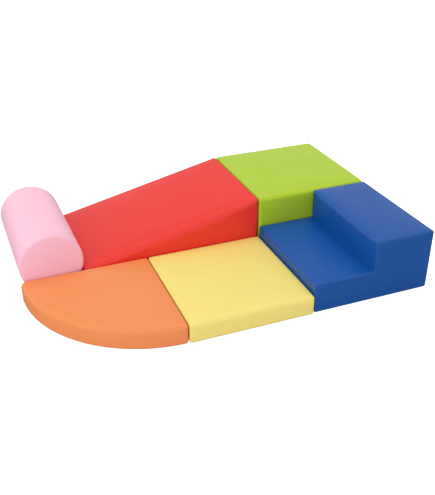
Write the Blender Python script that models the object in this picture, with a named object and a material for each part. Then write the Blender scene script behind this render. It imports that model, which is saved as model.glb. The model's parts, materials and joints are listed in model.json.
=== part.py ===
"""Soft climbing set of foam play blocks for toddlers, in metres, with +Z up.

Six loose blocks stand in two rows on the floor. The back row is a roller, a long ramp and a square
platform. The front row is a quarter-circle mat, a square mat and a block with one step. Each block is foam
in a sewn cover: a foam core, cover panels that meet at seams, a non-slip base and a zip that lies sunk in a
channel. Strips of hook and loop tape between the blocks hold the rows together, all but the roller, which is
free to roll and lies a little turned against the ramp's toe.

The origin is the middle of the whole set on the floor. +X runs along the rows from the roller to the
platform, and +Y runs from the front row to the back row.
"""

import math

import bmesh
import bpy
from mathutils import Matrix, Vector

# Driving sizes of the blocks
MODULE = 0.500
BLOCK_HEIGHT = 0.250
MAT_THICKNESS = 0.080
SQUARE_MAT_WIDTH = 0.490
SQUARE_MAT_DEPTH = 0.508
QUARTER_RADIUS = 0.504
RAMP_LENGTH = 0.750
STEP_LENGTH = 0.500
TREAD_DEPTH = 0.250
TREAD_HEIGHT = 0.125
ROLLER_DIAMETER = 0.250
ROLLER_LENGTH = 0.500
ROLLER_CORE_DIAMETER = 0.100

# How the roller lies at the ramp's toe: its turn in degrees, and the gaps to the toe and to the front row
ROLLER_TURN = 1.3
ROLLER_TOE_GAP = 0.0045
ROLLER_FRONT_GAP = 0.0014

# Cover and foam
COVER_THICKNESS = 0.0012
CLEARANCE = 0.0003
SEAM_GAP = 0.00045
RIM_RADIUS = 0.012
CORNER_RADIUS = 0.010
NOSING_RADIUS = 0.018
INNER_CORNER_RADIUS = 0.012
CROWN = 0.003
ROLLER_CROWN = 0.004

# Hook and loop tape between the blocks
STRIP_THICKNESS = 0.0012
STRIP_LENGTH = 0.300
STRIP_HEIGHT = 0.025
STRIP_CORNER_RADIUS = 0.004
STRIP_MARGIN = 0.030

# Zip, sunk in its channel
ZIP_LENGTH = 0.400
RAMP_ZIP_LENGTH = 0.600
QUARTER_ZIP_LENGTH = 0.340
ZIP_HEIGHT = 0.030
MAT_ZIP_INSET = 0.080
ZIP_RECESS = 0.0070
ZIP_SLOT_WIDTH = 0.0130
TAPE_WIDTH = 0.0186
TAPE_THICKNESS = 0.0008
TAPE_OVERLAP = 0.008
COIL_WIDTH = 0.0050
COIL_HEIGHT = 0.0012
SLIDER_LENGTH = 0.012
SLIDER_WIDTH = 0.009
SLIDER_PLATE = 0.0012
BRIDGE_LENGTH = 0.0092
BRIDGE_WIDTH = 0.0030
BRIDGE_OPENING = 0.0026
BRIDGE_THICKNESS = 0.0009
BRIDGE_LEG = 0.0010
PULL_LENGTH = 0.024
PULL_WIDTH = 0.0070
PULL_THICKNESS = 0.0012
ZIP_END_ROOM = 0.006

# How finely round stretches are drawn
CORNER_SEGMENTS = 3
RIM_SEGMENTS = 3
BAR_TURNS = (90, 54, 18)
QUARTER_SEGMENTS = 20
ROLLER_SEGMENTS = 40
SMALLEST_RADIUS = 0.0003
STRAIGHT_ON = 0.001
SWELL_STEPS = (0.10, 0.27, 0.50, 0.73, 0.90)
CROWN_STEPS = ((0.14, 0.45), (0.38, 0.85), (0.70, 1.00))

# What follows from the driving sizes
SHELL = COVER_THICKNESS + CLEARANCE
BLOCK_GAP = 2 * STRIP_THICKNESS + 3 * CLEARANCE
SEAM_DEPTH = RIM_RADIUS * (1 - math.cos(math.pi / 4))

# The roller's size as it lies turned: along the rows from the front end of its axis, and from front to back
ROLLER_RADIUS = ROLLER_DIAMETER / 2
ROLLER_STRAIGHT = ROLLER_LENGTH - 2 * ROLLER_CROWN
TURN_COS = math.cos(math.radians(ROLLER_TURN))
TURN_SIN = math.sin(math.radians(ROLLER_TURN))
ROLLER_LEFT_REACH = ROLLER_RADIUS * TURN_COS + (ROLLER_STRAIGHT - RIM_RADIUS) * TURN_SIN
END_RADIUS = ROLLER_RADIUS - RIM_RADIUS
ROLLER_DEPTH = max(
    (ROLLER_STRAIGHT + 2 * ROLLER_CROWN * height) * TURN_COS + 2 * END_RADIUS * (1 - share) * TURN_SIN
    for share, height in CROWN_STEPS
)

# From the roller's axis down to the middle of the toe's rounded upper corner, and across to the toe's face
TOE_TURN = math.pi / 2 - math.atan2(BLOCK_HEIGHT - MAT_THICKNESS, RAMP_LENGTH)
TOE_DROP = max(ROLLER_RADIUS - MAT_THICKNESS + CORNER_RADIUS * math.tan(TOE_TURN / 2), 0)
TOE_REACH = math.sqrt((ROLLER_RADIUS + ROLLER_TOE_GAP + CORNER_RADIUS) ** 2 - TOE_DROP**2) - CORNER_RADIUS

BACK_ROW = ROLLER_LEFT_REACH + TOE_REACH + RAMP_LENGTH + BLOCK_GAP + MODULE
FRONT_ROW = QUARTER_RADIUS + BLOCK_GAP + SQUARE_MAT_WIDTH + BLOCK_GAP + STEP_LENGTH
BACK_DEPTH = max(BLOCK_GAP + MODULE, ROLLER_FRONT_GAP + ROLLER_DEPTH)
FRONT_DEPTH = max(MODULE, SQUARE_MAT_DEPTH, QUARTER_RADIUS)
RIGHT_END = max(BACK_ROW, FRONT_ROW) / 2
FRONT_ROW_BACK = (FRONT_DEPTH - BACK_DEPTH) / 2
BACK_ROW_FRONT = FRONT_ROW_BACK + BLOCK_GAP

PLATFORM_LEFT = RIGHT_END - MODULE
RAMP_LEFT = PLATFORM_LEFT - BLOCK_GAP - RAMP_LENGTH
ROLLER_AXIS_X = RAMP_LEFT - TOE_REACH
ROLLER_MIDDLE_Y = FRONT_ROW_BACK + ROLLER_FRONT_GAP + ROLLER_DEPTH / 2
STEP_LEFT = RIGHT_END - STEP_LENGTH
SQUARE_LEFT = STEP_LEFT - BLOCK_GAP - SQUARE_MAT_WIDTH
QUARTER_LEFT = SQUARE_LEFT - BLOCK_GAP - QUARTER_RADIUS


# Materials

def linear(hex_colour):
    """An sRGB hex colour as linear red, green, blue and alpha."""
    channels = [int(hex_colour[i : i + 2], 16) / 255 for i in (0, 2, 4)]
    rgb = [c / 12.92 if c <= 0.04045 else ((c + 0.055) / 1.055) ** 2.4 for c in channels]
    return (*rgb, 1.0)


def make_material(name, hex_colour, roughness, metallic=0.0):
    material = bpy.data.materials.new(name)
    material.use_nodes = True
    shader = material.node_tree.nodes["Principled BSDF"]
    shader.inputs["Base Color"].default_value = linear(hex_colour)
    shader.inputs["Roughness"].default_value = roughness
    shader.inputs["Metallic"].default_value = metallic
    material.diffuse_color = linear(hex_colour)
    return material


# Outlines

def arc(centre, radius, start, turn, segments):
    """Points along an arc, both ends included; start and turn are angles in radians."""
    angles = [start + turn * k / segments for k in range(segments + 1)]
    return [centre + radius * Vector((math.cos(a), math.sin(a))) for a in angles]


def fullness(share):
    """How far a tight cover swells at a share of the way across a face, from 0 at its edges to 1 halfway."""
    return 1 - (2 * share - 1) ** 4


def polygon_outline(corners):
    """An outline of straight sides with rounded corners, as a function of how far it is drawn in.

    Each corner is (x, y, radius, swell), anticlockwise, and swell is how far the side after it stands proud
    at its middle. The function returns (point, push) pairs, where push is that outward swell.
    """
    places = [Vector(corner[:2]) for corner in corners]
    sides = [(b - a).normalized() for a, b in zip(places, places[1:] + places[:1])]
    inwards = [Vector((-side.y, side.x)) for side in sides]

    def rounded_corner(index, inset):
        before, after = sides[index - 1], sides[index]
        in_before, in_after = inwards[index - 1], inwards[index]
        turn = math.atan2(before.cross(after), before.dot(after))
        bend = math.copysign(1, turn)
        corner = places[index] + (in_before + in_after) * inset / (1 + in_before.dot(in_after))
        if abs(turn) < STRAIGHT_ON:
            return [corner]
        radius = max(corners[index][2] - bend * inset, SMALLEST_RADIUS)
        start = corner - before * radius * math.tan(abs(turn) / 2)
        centre = start + in_before * bend * radius
        angle = math.atan2(start.y - centre.y, start.x - centre.x)
        return arc(centre, radius, angle, turn, CORNER_SEGMENTS)

    def outline(inset):
        arcs = [rounded_corner(index, inset) for index in range(len(corners))]
        points = []
        for index, bend in enumerate(arcs):
            points += [(point, Vector((0, 0))) for point in bend]
            swell = corners[index][3]
            if not swell:
                continue
            ahead = arcs[(index + 1) % len(arcs)][0]
            for share in SWELL_STEPS:
                push = -inwards[index] * swell * fullness(share)
                points.append((bend[-1].lerp(ahead, share), push))
        return points

    return outline


def rectangle_outline(width, depth, radius):
    """A rectangle from the origin to (width, depth) with all corners rounded alike."""
    corners = [(0, 0), (width, 0), (width, depth), (0, depth)]
    return polygon_outline([(x, y, radius, 0) for x, y in corners])


def quarter_outline(side, radius):
    """A quarter disc whose square corner is at (side, side), with its corner and both tips rounded."""
    square_corner = Vector((side, side))

    def outline(inset):
        fold = max(radius - inset, SMALLEST_RADIUS)
        reach = side - inset
        aside = inset + fold
        corner = arc(square_corner - Vector((aside, aside)), fold, 0, math.pi / 2, CORNER_SEGMENTS)
        along = math.sqrt((reach - fold) ** 2 - aside**2)
        lean = math.atan2(aside, along)
        left_tip = square_corner - Vector((along, aside))
        front_tip = square_corner - Vector((aside, along))
        left = arc(left_tip, fold, math.pi / 2, math.pi / 2 + lean, CORNER_SEGMENTS)
        round_side = arc(square_corner, reach, math.pi + lean, math.pi / 2 - 2 * lean, QUARTER_SEGMENTS)
        front = arc(front_tip, fold, 1.5 * math.pi - lean, math.pi / 2 + lean, CORNER_SEGMENTS)
        return [(point, Vector((0, 0))) for point in corner + left + round_side[1:-1] + front]

    return outline


def round_outline(radius):
    """A many-sided circle about the origin that rests on the middle of one side."""
    step = 2 * math.pi / ROLLER_SEGMENTS

    def outline(inset):
        reach = (radius - inset) / math.cos(step / 2)
        ring = arc(Vector((0, 0)), reach, -math.pi / 2 + step / 2, 2 * math.pi - step, ROLLER_SEGMENTS - 1)
        return [(point, Vector((0, 0))) for point in ring]

    return outline


# Solid forms

def upright(point, depth):
    """Carries an outline drawn on the floor upwards."""
    return Vector((point.x, point.y, depth))


def lengthwise(point, depth):
    """Carries an outline drawn in the side view backwards, along +Y."""
    return Vector((point.x, depth, point.y))


def rim_rows(rim, shell, segments=RIM_SEGMENTS):
    """(inset, depth) rows of a rounded rim, from the face to the side; shell draws the whole form in."""
    small = max(rim - shell, SMALLEST_RADIUS)
    angles = [math.pi / 2 * k / segments for k in range(segments + 1)]
    return [(shell + small * (1 - math.sin(a)), shell + small * (1 - math.cos(a))) for a in angles]


def padded_form(outline, length, carry, rim, shell=0.0, swollen=False, near_crown=(), far_crown=()):
    """A closed bmesh of a padded block: an outline carried over a length, with rounded rims at both ends.

    Each crown is a list of (inset, rise) rows that lift the face at that end. A swollen form's sides also
    stand proud along the length, as the outline's pushes say.
    """
    rows = [(inset, depth, 0.0) for inset, depth in rim_rows(rim, shell)]
    near = [(inset, shell - rise, 0.0) for inset, rise in reversed(near_crown)]
    far = [(inset, length - shell + rise, 0.0) for inset, rise in far_crown]
    middle = []
    if swollen:
        straight = length - 2 * rim
        middle = [(shell, rim + straight * share, fullness(share)) for share in SWELL_STEPS]
    mirrored = [(inset, length - depth, 0.0) for inset, depth, _ in reversed(rows)]
    form = bmesh.new()
    rings = []
    for inset, depth, full in near + rows + middle + mirrored + far:
        ring = [form.verts.new(carry(point + push * full, depth)) for point, push in outline(inset)]
        rings.append(ring)
    close_rings(form, rings)
    return form


def close_rings(form, rings):
    """Faces between rings of equally many points, and one over each end."""
    for low, high in zip(rings, rings[1:]):
        for k in range(len(low)):
            form.faces.new((low[k - 1], low[k], high[k], high[k - 1]))
    form.faces.new(rings[0])
    form.faces.new(rings[-1])
    bmesh.ops.recalc_face_normals(form, faces=form.faces)


def crown_rows(half_width, rise, rim=RIM_RADIUS):
    """(inset, rise) rows that lift a face towards its middle."""
    inner = half_width - rim
    return [(rim + inner * share, rise * height) for share, height in CROWN_STEPS]


# Objects

def add_object(name, mesh, material, parent, matrix=None):
    """One named piece; its matrix is its place in its parent's frame."""
    piece = bpy.data.objects.new(name, mesh)
    bpy.context.collection.objects.link(piece)
    if material:
        mesh.materials.clear()
        mesh.materials.append(material)
    piece.parent = parent
    if matrix:
        piece.matrix_basis = matrix
    return piece


def mesh_from(form, name):
    """A mesh from a bmesh, which is freed; round stretches are shaded smooth."""
    mesh = bpy.data.meshes.new(name)
    form.to_mesh(mesh)
    form.free()
    mesh.shade_smooth()
    mesh.set_sharp_from_angle(angle=math.radians(35))
    return mesh


def add_empty(name, location):
    empty = bpy.data.objects.new(name, None)
    bpy.context.collection.objects.link(empty)
    empty.location = location
    return empty


def above(axis, value):
    """A half-space: the points whose coordinate on an axis is over a value, seam allowance left out."""
    direction = Vector((0, 0, 0))
    direction["xyz".index(axis)] = 1
    return direction * (value + SEAM_GAP / 2), direction


def below(axis, value):
    """A half-space: the points whose coordinate on an axis is under a value, seam allowance left out."""
    direction = Vector((0, 0, 0))
    direction["xyz".index(axis)] = 1
    return direction * (value - SEAM_GAP / 2), -direction


def add_panel(name, form, sides, material, parent):
    """A sewn cover panel: the form's skin inside the half-spaces, thickened inwards."""
    skin = form.copy()
    for point, direction in sides:
        everything = skin.verts[:] + skin.edges[:] + skin.faces[:]
        bmesh.ops.bisect_plane(skin, geom=everything, plane_co=point, plane_no=direction, clear_inner=True)
    panel = add_object(name, mesh_from(skin, name), material, parent)
    cloth = panel.modifiers.new("Cover thickness", "SOLIDIFY")
    cloth.thickness = COVER_THICKNESS
    cloth.offset = -1
    cloth.use_even_offset = True
    return panel


def add_tool(name, form, parent, matrix=None):
    """A hidden form that other pieces are cut by or joined with."""
    tool = add_object(name, mesh_from(form, name), None, parent, matrix)
    tool.hide_render = True
    tool.display_type = "WIRE"
    return tool


def add_cutter(name, size, parent, matrix):
    """A hidden box that cuts other pieces; size is along the parent's axes after the matrix."""
    form = bmesh.new()
    bmesh.ops.create_cube(form, size=1.0, matrix=Matrix.Diagonal((*size, 1.0)))
    return add_tool(name, form, parent, matrix)


def cut(piece, tool, operation="DIFFERENCE"):
    work = piece.modifiers.new(operation.capitalize() + " with " + tool.name, "BOOLEAN")
    work.operation = operation
    work.solver = "EXACT"
    work.object = tool


# Zip: x runs along the coil, y across it, and z stands out of the face, which is at z = 0

TAPE_FLOOR = -ZIP_RECESS
COIL_TOP = TAPE_FLOOR + COIL_HEIGHT
PLATE_BOTTOM = COIL_TOP + CLEARANCE
PLATE_TOP = PLATE_BOTTOM + SLIDER_PLATE
PULL_AXIS = PLATE_TOP + BRIDGE_OPENING / 2
PULL_REACH = PULL_LENGTH + ZIP_END_ROOM
PULL_BAR = PULL_THICKNESS / 2


def extruded(section, start, end, carry):
    """A closed bmesh of a section, a list of points, carried from start to end."""
    form = bmesh.new()
    face = form.faces.new([form.verts.new(carry(Vector(point), start)) for point in section])
    sides = bmesh.ops.extrude_face_region(form, geom=[face])["geom"]
    travel = carry(Vector((0, 0)), end) - carry(Vector((0, 0)), start)
    bmesh.ops.translate(form, vec=travel, verts=[v for v in sides if isinstance(v, bmesh.types.BMVert)])
    bmesh.ops.recalc_face_normals(form, faces=form.faces)
    return form


def along_x(point, depth):
    return Vector((depth, point.x, point.y))


def along_y(point, depth):
    return Vector((point.x, depth, point.y))


def along_z(point, depth):
    return Vector((point.x, point.y, depth))


def tape_form(length):
    """Zip tape folded into a tray, with the closed coil as a ridge along its floor."""
    edge = TAPE_WIDTH / 2
    mouth = ZIP_SLOT_WIDTH / 2 - CLEARANCE
    floor = mouth - TAPE_THICKNESS
    lip = -SHELL
    coil = COIL_WIDTH / 2
    under = TAPE_THICKNESS
    half = [
        (coil, COIL_TOP),
        (coil, TAPE_FLOOR),
        (floor, TAPE_FLOOR),
        (mouth, lip),
        (edge, lip),
        (edge, lip - under),
        (mouth + under, lip - under),
        (floor + under, TAPE_FLOOR - under),
    ]
    other = [(-y, z) for y, z in reversed(half)]
    return extruded(half + other, -length / 2, length / 2, along_x)


def slider_form():
    """Zip slider: a saddle over the coil, and on it the arch that holds the pull."""
    width, groove = SLIDER_WIDTH / 2, COIL_WIDTH / 2 + CLEARANCE
    foot = TAPE_FLOOR + CLEARANCE
    section = [
        (-width, foot),
        (-groove, foot),
        (-groove, PLATE_BOTTOM),
        (groove, PLATE_BOTTOM),
        (groove, foot),
        (width, foot),
        (width, PLATE_TOP),
        (-width, PLATE_TOP),
    ]
    return extruded(section, -SLIDER_LENGTH / 2, SLIDER_LENGTH / 2, along_x)


def bridge_form():
    """Arch of the slider, seated a little way into the saddle's plate."""
    outer = BRIDGE_LENGTH / 2
    inner = outer - BRIDGE_LEG
    foot = PLATE_TOP - SLIDER_PLATE / 2
    top = PLATE_TOP + BRIDGE_OPENING
    section = [
        (-outer, foot),
        (-inner, foot),
        (-inner, top),
        (inner, top),
        (inner, foot),
        (outer, foot),
        (outer, top + BRIDGE_THICKNESS / 2),
        (inner, top + BRIDGE_THICKNESS),
        (-inner, top + BRIDGE_THICKNESS),
        (-outer, top + BRIDGE_THICKNESS / 2),
    ]
    return extruded(section, -BRIDGE_WIDTH / 2, BRIDGE_WIDTH / 2, along_y)


def pull_form():
    """Pull tab lying flat towards -X from its bar, which is round about the Y axis."""
    half = PULL_WIDTH / 2
    shoulder = PULL_WIDTH / 4
    rows = [(-PULL_LENGTH, half - shoulder, PULL_BAR), (-PULL_LENGTH + shoulder, half, PULL_BAR)]
    for turn in map(math.radians, BAR_TURNS):
        rows.append((PULL_BAR * math.cos(turn), half, PULL_BAR * math.sin(turn)))
    form = bmesh.new()
    rings = []
    for x, y, z in rows:
        corners = ((x, -y, -z), (x, y, -z), (x, y, z), (x, -y, z))
        rings.append([form.verts.new(corner) for corner in corners])
    close_rings(form, rings)
    return form


def add_zip(block, frame, shell, core, length, materials):
    """A zip on one block: its tape, slider and pull, the slot in a cover panel and the channel in the foam.

    frame carries the zip's own axes to the block's face; shell is the panel that the slot passes through.
    """
    empty, name, metal = block["empty"], block["name"], materials["metal"]
    depth = ZIP_RECESS + TAPE_THICKNESS + CLEARANCE
    slot = add_cutter(name + "_zip_slot", (length, ZIP_SLOT_WIDTH, 4 * SHELL), empty, frame)
    tape_length = length + 2 * TAPE_OVERLAP
    channel_size = (tape_length + 2 * CLEARANCE, TAPE_WIDTH + 2 * CLEARANCE, 2 * depth)
    channel = add_cutter(name + "_zip_channel", channel_size, empty, frame)
    cut(shell, slot)
    cut(core, channel)
    tape = mesh_from(tape_form(tape_length), "zip_tape")
    add_object(name + "_zip_tape", tape, materials["cover"], empty, frame)

    closed = frame @ Matrix.Translation((length / 2 - PULL_REACH, 0, 0))
    slider = add_object(name + "_zip_slider", mesh_from(slider_form(), "zip_slider"), metal, empty, closed)
    cut(slider, add_tool(name + "_zip_bridge", bridge_form(), slider), "UNION")

    hinge = Matrix.Translation((0, 0, PULL_AXIS))
    pull = add_object(name + "_zip_pull", mesh_from(pull_form(), "zip_pull"), metal, slider, hinge)
    window_end = BRIDGE_LENGTH / 2 + BRIDGE_LEG
    window_size = (window_end - PULL_BAR, BRIDGE_WIDTH + 3 * CLEARANCE, 4 * PULL_THICKNESS)
    middle = Matrix.Translation((-(window_end + PULL_BAR) / 2, 0, 0))
    cut(pull, add_cutter(name + "_zip_window", window_size, pull, middle))


# Hook and loop tape

def add_strip(name, block, centre, outward, length, material):
    """A strip of tape on a block's face; centre is on the face, and outward is the face's direction."""
    half, high = length / 2, STRIP_HEIGHT / 2
    corners = [(-half, -high), (half, -high), (half, high), (-half, high)]
    outline = polygon_outline([(x, y, STRIP_CORNER_RADIUS, 0) for x, y in corners])
    section = [point for point, _ in outline(0.0)]
    form = extruded(section, CLEARANCE, CLEARANCE + STRIP_THICKNESS, along_z)
    across = Vector((0, 0, 1)).cross(outward)
    turn = Matrix((across, Vector((0, 0, 1)), outward)).transposed().to_4x4()
    add_object(name, mesh_from(form, name), material, block["empty"], Matrix.Translation(centre) @ turn)


def add_strip_pair(first, second, centre, outward, length, materials):
    """Hook tape on the first block and loop tape on the second.

    centre is in the set's frame, on the first block's face, and outward points to the second block.
    """
    ways = ((first, second, "hook", 0.0, 1), (second, first, "loop", BLOCK_GAP, -1))
    for block, other, kind, travel, sign in ways:
        here = centre + outward * travel - block["empty"].location
        name = f"{block['name']}_{kind}_strip_to_{other['name']}"
        add_strip(name, block, here, outward * sign, length, materials[kind])


# Blocks

def start_block(name, location):
    return {"name": name, "empty": add_empty(name + "_frame", location)}


def add_core(block, form, material, suffix="foam_core"):
    name = block["name"] + "_" + suffix
    return add_object(name, mesh_from(form, name), material, block["empty"])


def add_flat_block(block, outline, height, half_width, materials):
    """Platform or mat: a foam slab in a top panel, a side band and a base."""
    name, empty = block["name"], block["empty"]
    crown = crown_rows(half_width, CROWN)
    form = padded_form(outline, height, upright, RIM_RADIUS, far_crown=crown)
    inner = padded_form(outline, height, upright, RIM_RADIUS, shell=SHELL, far_crown=crown)
    top_seam, base_seam = height - SEAM_DEPTH, SEAM_DEPTH
    add_panel(name + "_top_panel", form, [above("z", top_seam)], materials["cover"], empty)
    band_sides = [above("z", base_seam), below("z", top_seam)]
    band = add_panel(name + "_side_band", form, band_sides, materials["cover"], empty)
    base = add_panel(name + "_base_panel", form, [below("z", base_seam)], materials["base"], empty)
    form.free()
    return band, base, add_core(block, inner, materials["foam"])


def add_long_cover(block, outline, length, materials, swollen=True, crown=(), base=True):
    """Cover of the ramp, step or roller: a wrap between two end panels, over a base unless it is round."""
    name, empty = block["name"], block["empty"]
    form = padded_form(outline, length, lengthwise, RIM_RADIUS, 0.0, swollen, crown, crown)
    front, back = SEAM_DEPTH, length - SEAM_DEPTH
    between = [above("y", front), below("y", back)]
    add_panel(name + "_front_end_panel", form, [below("y", front)], materials["cover"], empty)
    back_end = add_panel(name + "_back_end_panel", form, [above("y", back)], materials["cover"], empty)
    if base:
        add_panel(name + "_base_panel", form, between + [below("z", SEAM_DEPTH)], materials["base"], empty)
        between = between + [above("z", SEAM_DEPTH)]
    wrap = add_panel(name + "_wrap_panel", form, between, materials["cover"], empty)
    form.free()
    return wrap, back_end


def zip_frame(origin, along, outward):
    """The matrix that carries a zip's x to along and its z to outward."""
    across = outward.cross(along)
    return Matrix.Translation(origin) @ Matrix((along, across, outward)).transposed().to_4x4()


def build_platform(materials):
    block = start_block("platform", (PLATFORM_LEFT, BACK_ROW_FRONT, 0))
    outline = rectangle_outline(MODULE, MODULE, CORNER_RADIUS)
    band, _, core = add_flat_block(block, outline, BLOCK_HEIGHT, MODULE / 2, materials)
    frame = zip_frame(Vector((MODULE / 2, MODULE, ZIP_HEIGHT)), Vector((-1, 0, 0)), Vector((0, 1, 0)))
    add_zip(block, frame, band, core, ZIP_LENGTH, materials)
    return block


def build_ramp(materials):
    block = start_block("ramp", (RAMP_LEFT, BACK_ROW_FRONT, 0))
    corners = [
        (0, 0, CORNER_RADIUS, 0),
        (RAMP_LENGTH, 0, CORNER_RADIUS, 0),
        (RAMP_LENGTH, BLOCK_HEIGHT, CORNER_RADIUS, CROWN),
        (0, MAT_THICKNESS, CORNER_RADIUS, 0),
    ]
    outline = polygon_outline(corners)
    _, back_end = add_long_cover(block, outline, MODULE, materials)
    inner = padded_form(outline, MODULE, lengthwise, RIM_RADIUS, shell=SHELL, swollen=True)
    core = add_core(block, inner, materials["foam"])
    frame = zip_frame(Vector((RAMP_LENGTH / 2, MODULE, ZIP_HEIGHT)), Vector((-1, 0, 0)), Vector((0, 1, 0)))
    add_zip(block, frame, back_end, core, RAMP_ZIP_LENGTH, materials)
    return block


def build_step(materials):
    block = start_block("step", (STEP_LEFT, FRONT_ROW_BACK - MODULE, 0))
    corners = [
        (0, 0, CORNER_RADIUS, 0),
        (STEP_LENGTH, 0, CORNER_RADIUS, 0),
        (STEP_LENGTH, BLOCK_HEIGHT, CORNER_RADIUS, CROWN),
        (TREAD_DEPTH, BLOCK_HEIGHT, NOSING_RADIUS, 0),
        (TREAD_DEPTH, TREAD_HEIGHT, INNER_CORNER_RADIUS, CROWN),
        (0, TREAD_HEIGHT, NOSING_RADIUS, 0),
    ]
    wrap, _ = add_long_cover(block, polygon_outline(corners), MODULE, materials)

    # The foam is two blocks glued side by side, under the tread and under the top
    glue_line = TREAD_DEPTH + 2 * SHELL - CLEARANCE
    low_corners = [
        (0, 0, CORNER_RADIUS, 0),
        (glue_line, 0, SHELL, 0),
        (glue_line, TREAD_HEIGHT, SHELL, 0),
        (TREAD_DEPTH - INNER_CORNER_RADIUS, TREAD_HEIGHT, 0, CROWN),
        (0, TREAD_HEIGHT, NOSING_RADIUS, 0),
    ]
    high_corners = [
        (TREAD_DEPTH, 0, SHELL, 0),
        (STEP_LENGTH, 0, CORNER_RADIUS, 0),
        (STEP_LENGTH, BLOCK_HEIGHT, CORNER_RADIUS, CROWN),
        (TREAD_DEPTH, BLOCK_HEIGHT, NOSING_RADIUS, 0),
    ]
    low, high = [
        padded_form(polygon_outline(part), MODULE, lengthwise, RIM_RADIUS, shell=SHELL, swollen=True)
        for part in (low_corners, high_corners)
    ]
    add_core(block, low, materials["foam"], "low_foam_core")
    core = add_core(block, high, materials["foam"], "high_foam_core")
    frame = zip_frame(Vector((STEP_LENGTH, MODULE / 2, ZIP_HEIGHT)), Vector((0, 1, 0)), Vector((1, 0, 0)))
    add_zip(block, frame, wrap, core, ZIP_LENGTH, materials)
    return block


def build_square_mat(materials):
    width, depth = SQUARE_MAT_WIDTH, SQUARE_MAT_DEPTH
    block = start_block("square_mat", (SQUARE_LEFT, FRONT_ROW_BACK - depth, 0))
    outline = rectangle_outline(width, depth, CORNER_RADIUS)
    _, base, core = add_flat_block(block, outline, MAT_THICKNESS, min(width, depth) / 2, materials)
    place = Vector((width / 2, depth - MAT_ZIP_INSET, 0))
    frame = zip_frame(place, Vector((1, 0, 0)), Vector((0, 0, -1)))
    add_zip(block, frame, base, core, ZIP_LENGTH, materials)
    return block


def build_quarter_mat(materials):
    side = QUARTER_RADIUS
    block = start_block("quarter_mat", (QUARTER_LEFT, FRONT_ROW_BACK - side, 0))
    outline = quarter_outline(side, CORNER_RADIUS)
    # The widest circle in a quarter disc has this radius
    half_width = side * (math.sqrt(2) - 1)
    _, base, core = add_flat_block(block, outline, MAT_THICKNESS, half_width, materials)
    place = Vector((side - MAT_ZIP_INSET - QUARTER_ZIP_LENGTH / 2, side - MAT_ZIP_INSET, 0))
    frame = zip_frame(place, Vector((1, 0, 0)), Vector((0, 0, -1)))
    add_zip(block, frame, base, core, QUARTER_ZIP_LENGTH, materials)
    return block


def build_roller(materials):
    """The roller's frame is on its axis, at its front end. A firmer round core runs through its foam."""
    straight = ROLLER_STRAIGHT
    front_end = ROLLER_MIDDLE_Y - straight / 2 * TURN_COS
    block = start_block("roller", (ROLLER_AXIS_X, front_end, ROLLER_RADIUS))
    block["empty"].rotation_euler.z = math.radians(ROLLER_TURN)
    outline = round_outline(ROLLER_RADIUS)
    crown = crown_rows(ROLLER_RADIUS, ROLLER_CROWN)
    wrap, _ = add_long_cover(block, outline, straight, materials, crown=crown, swollen=False, base=False)
    foam = padded_form(outline, straight, lengthwise, RIM_RADIUS, SHELL, near_crown=crown, far_crown=crown)
    inner = add_core(block, foam.copy(), materials["foam"], "inner_foam_core")
    outer = add_core(block, foam, materials["foam"], "outer_foam_core")
    core_radius = ROLLER_CORE_DIAMETER / 2
    ways = ((inner, core_radius, "INTERSECT"), (outer, core_radius + CLEARANCE, "DIFFERENCE"))
    for piece, radius, operation in ways:
        section = [point for point, _ in round_outline(radius)(0.0)]
        rod = extruded(section, -ROLLER_CROWN - SHELL, straight + ROLLER_CROWN + SHELL, lengthwise)
        cut(piece, add_tool(piece.name + "_rod", rod, block["empty"]), operation)
    frame = zip_frame(Vector((ROLLER_RADIUS, straight / 2, 0)), Vector((0, 1, 0)), Vector((1, 0, 0)))
    add_zip(block, frame, wrap, outer, ZIP_LENGTH, materials)
    return block


def overlap(first_low, first_high, second_low, second_high):
    """Middle and usable length of the stretch that two faces share."""
    low, high = max(first_low, second_low), min(first_high, second_high)
    return (low + high) / 2, min(STRIP_LENGTH, high - low - 2 * STRIP_MARGIN)


def join_blocks(blocks, tapes):
    """Hook and loop tape wherever two blocks of the rows meet face to face."""
    low, middle, high = MAT_THICKNESS / 2, TREAD_HEIGHT / 2, BLOCK_HEIGHT / 2
    width = {
        "platform": (PLATFORM_LEFT, PLATFORM_LEFT + MODULE),
        "ramp": (RAMP_LEFT, RAMP_LEFT + RAMP_LENGTH),
        "step": (STEP_LEFT, STEP_LEFT + STEP_LENGTH),
        "square_mat": (SQUARE_LEFT, SQUARE_LEFT + SQUARE_MAT_WIDTH),
        "quarter_mat": (QUARTER_LEFT, QUARTER_LEFT + QUARTER_RADIUS),
    }
    depth = {
        "platform": (BACK_ROW_FRONT, BACK_ROW_FRONT + MODULE),
        "ramp": (BACK_ROW_FRONT, BACK_ROW_FRONT + MODULE),
        "step": (FRONT_ROW_BACK - MODULE, FRONT_ROW_BACK),
        "square_mat": (FRONT_ROW_BACK - SQUARE_MAT_DEPTH, FRONT_ROW_BACK),
        "quarter_mat": (FRONT_ROW_BACK - QUARTER_RADIUS, FRONT_ROW_BACK),
    }
    side_by_side = (("ramp", "platform", high), ("quarter_mat", "square_mat", low), ("square_mat", "step", low))
    for left, right, height in side_by_side:
        centre, length = overlap(*depth[left], *depth[right])
        place = Vector((width[left][1], centre, height))
        add_strip_pair(blocks[left], blocks[right], place, Vector((1, 0, 0)), length, tapes)
    front_to_back = (("quarter_mat", "ramp", low), ("square_mat", "ramp", low), ("step", "platform", middle))
    for front, rear, height in front_to_back:
        centre, length = overlap(*width[front], *width[rear])
        place = Vector((centre, FRONT_ROW_BACK, height))
        add_strip_pair(blocks[front], blocks[rear], place, Vector((0, 1, 0)), length, tapes)


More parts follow.
